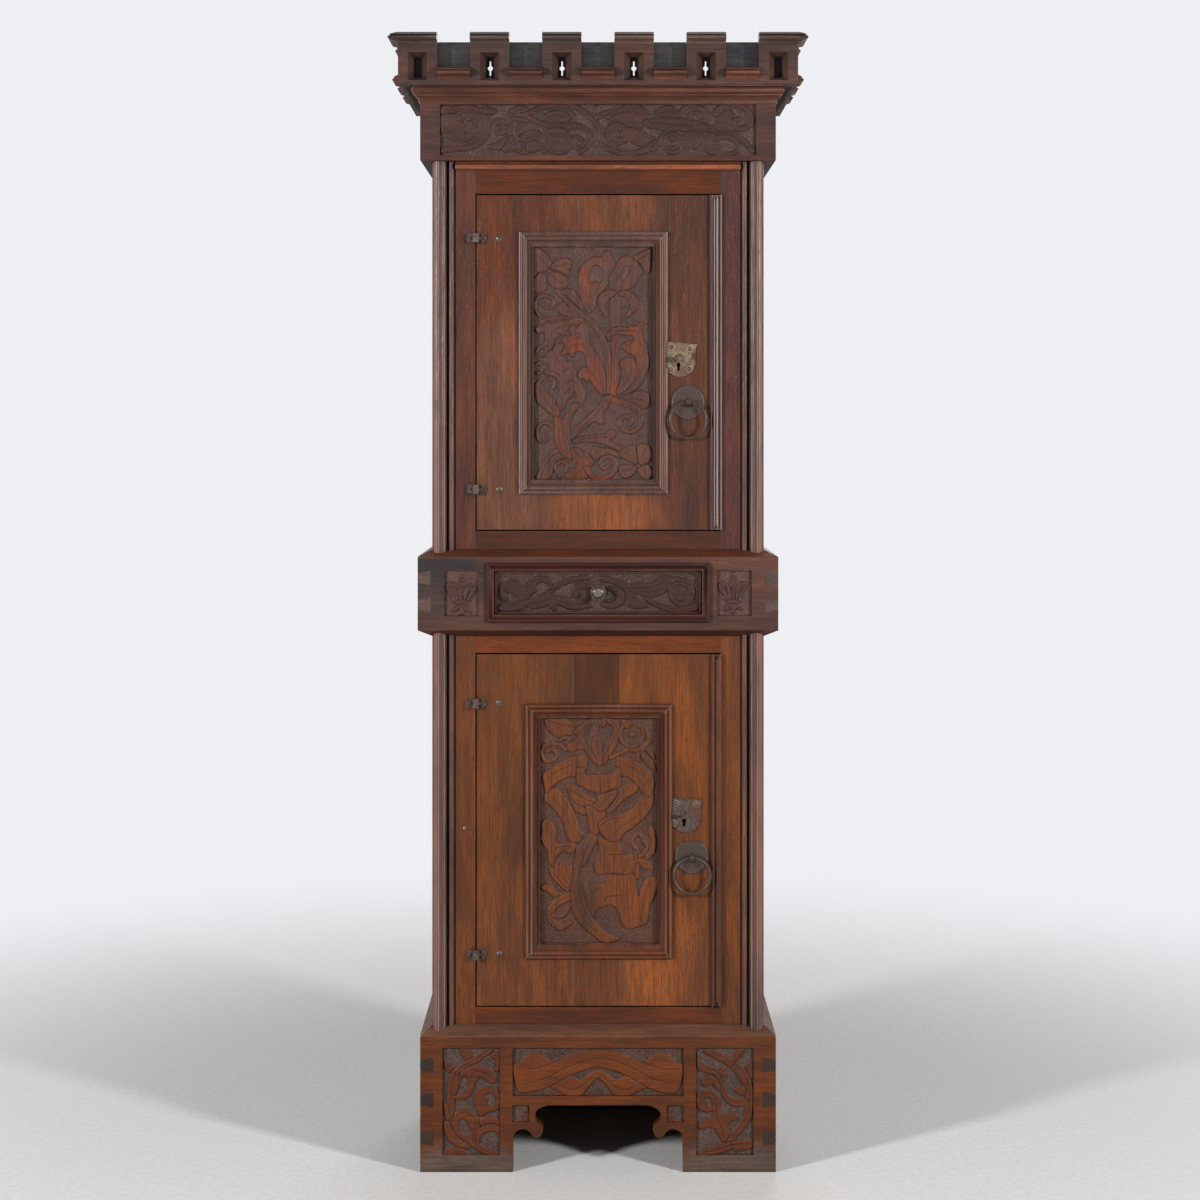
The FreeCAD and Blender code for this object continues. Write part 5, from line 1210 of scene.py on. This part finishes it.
plugs = Fittings("stile_plugs", "carcase", "lower_stiles", STILE_FACE, wood("oak_plugs", "#3E2A20", UP, 47))
for x, z in ((-236.8, 604.0), (239.5, 586.0)):
    plugs.turned(x, z, [(3.0, -0.3), (2.9, 0.3), (2.2, 0.5)], 12)
plugs.build()


# Camera, light and floor


def place_in_scene(name, data, location, rotation, **settings):
    for setting, value in settings.items():
        setattr(data, setting, value)
    obj = bpy.data.objects.new(name, data)
    obj.location = location
    obj.rotation_euler = rotation
    put_in_scene(obj)
    return obj


bpy.context.scene.camera = place_in_scene(
    "camera", bpy.data.cameras.new("camera"), (0.0, -3.9695, 1.310), (math.radians(90), 0.0, 0.0),
    lens=64.59, sensor_width=36.0, shift_x=0.00167, shift_y=-0.14167)

for name, place, width, height, power in (("softbox_left", (-3.3, -2.7, 1.9), 0.4, 0.6, 182),
                                          ("softbox_right", (3.3, -2.7, 1.9), 0.4, 0.6, 182),
                                          ("softbox_back", (0.5, 3.5, 2.6), 2.0, 1.5, 60)):
    aim = (Vector((0, 0, 1.0)) - Vector(place)).to_track_quat("-Z", "Y").to_euler()
    place_in_scene(name, bpy.data.lights.new(name, "AREA"), place, aim, shape="RECTANGLE", size=width,
                   size_y=height, energy=power)

# The pale backdrop is what the camera and reflections see. It lights the room only a little.
world = bpy.data.worlds.new("studio")
bpy.context.scene.world = world
g = Graph(world)
room = g.node("Background", {"Color": (0.95, 0.97, 1.0, 1.0), "Strength": 0.1})
seen = g.node("Background", {"Color": paint(BACKDROP), "Strength": 1.0})
camera_ray, glossy_ray, transmission_ray = (
    g.node("LightPath", {}, f"Is {kind} Ray") for kind in ("Camera", "Glossy", "Transmission"))
shown = g.math("MAXIMUM", camera_ray, g.math("MAXIMUM", glossy_ray, transmission_ray))
g.show(g.node("MixShader", {0: shown, 1: room, 2: seen}), "OutputWorld")

# The floor turns into the backdrop with distance, for the camera only
floor_half = 12.0
floor_mesh = bpy.data.meshes.new("floor")
floor_mesh.from_pydata([(-floor_half, -floor_half, 0), (floor_half, -floor_half, 0),
                        (floor_half, floor_half, 0), (-floor_half, floor_half, 0)], [], [(0, 1, 2, 3)])
floor = bpy.data.objects.new("floor", floor_mesh)
put_in_scene(floor)
g = Graph(bpy.data.materials.new("floor_paint"))
speck = g.remap(g.noise(g.place, 90, 4), 0.3, 0.7)
matt = g.surface(Base_Color=g.mix(speck, paint("#CFCDCB"), paint("#D8D6D4")), Roughness=0.85,
                 Specular_IOR_Level=0.2)
distance = g.node("VectorMath", {0: g.place}, "Value", operation="LENGTH")
far_part = g.times(g.remap(distance, 0.7, 2.6), g.node("LightPath", {}, "Is Camera Ray"))
glow = g.node("Emission", {"Color": paint(BACKDROP)})
floor_mesh.materials.append(g.show(g.node("MixShader", {0: far_part, 1: matt, 2: glow})))

bpy.context.scene.view_settings.view_transform = "Standard"
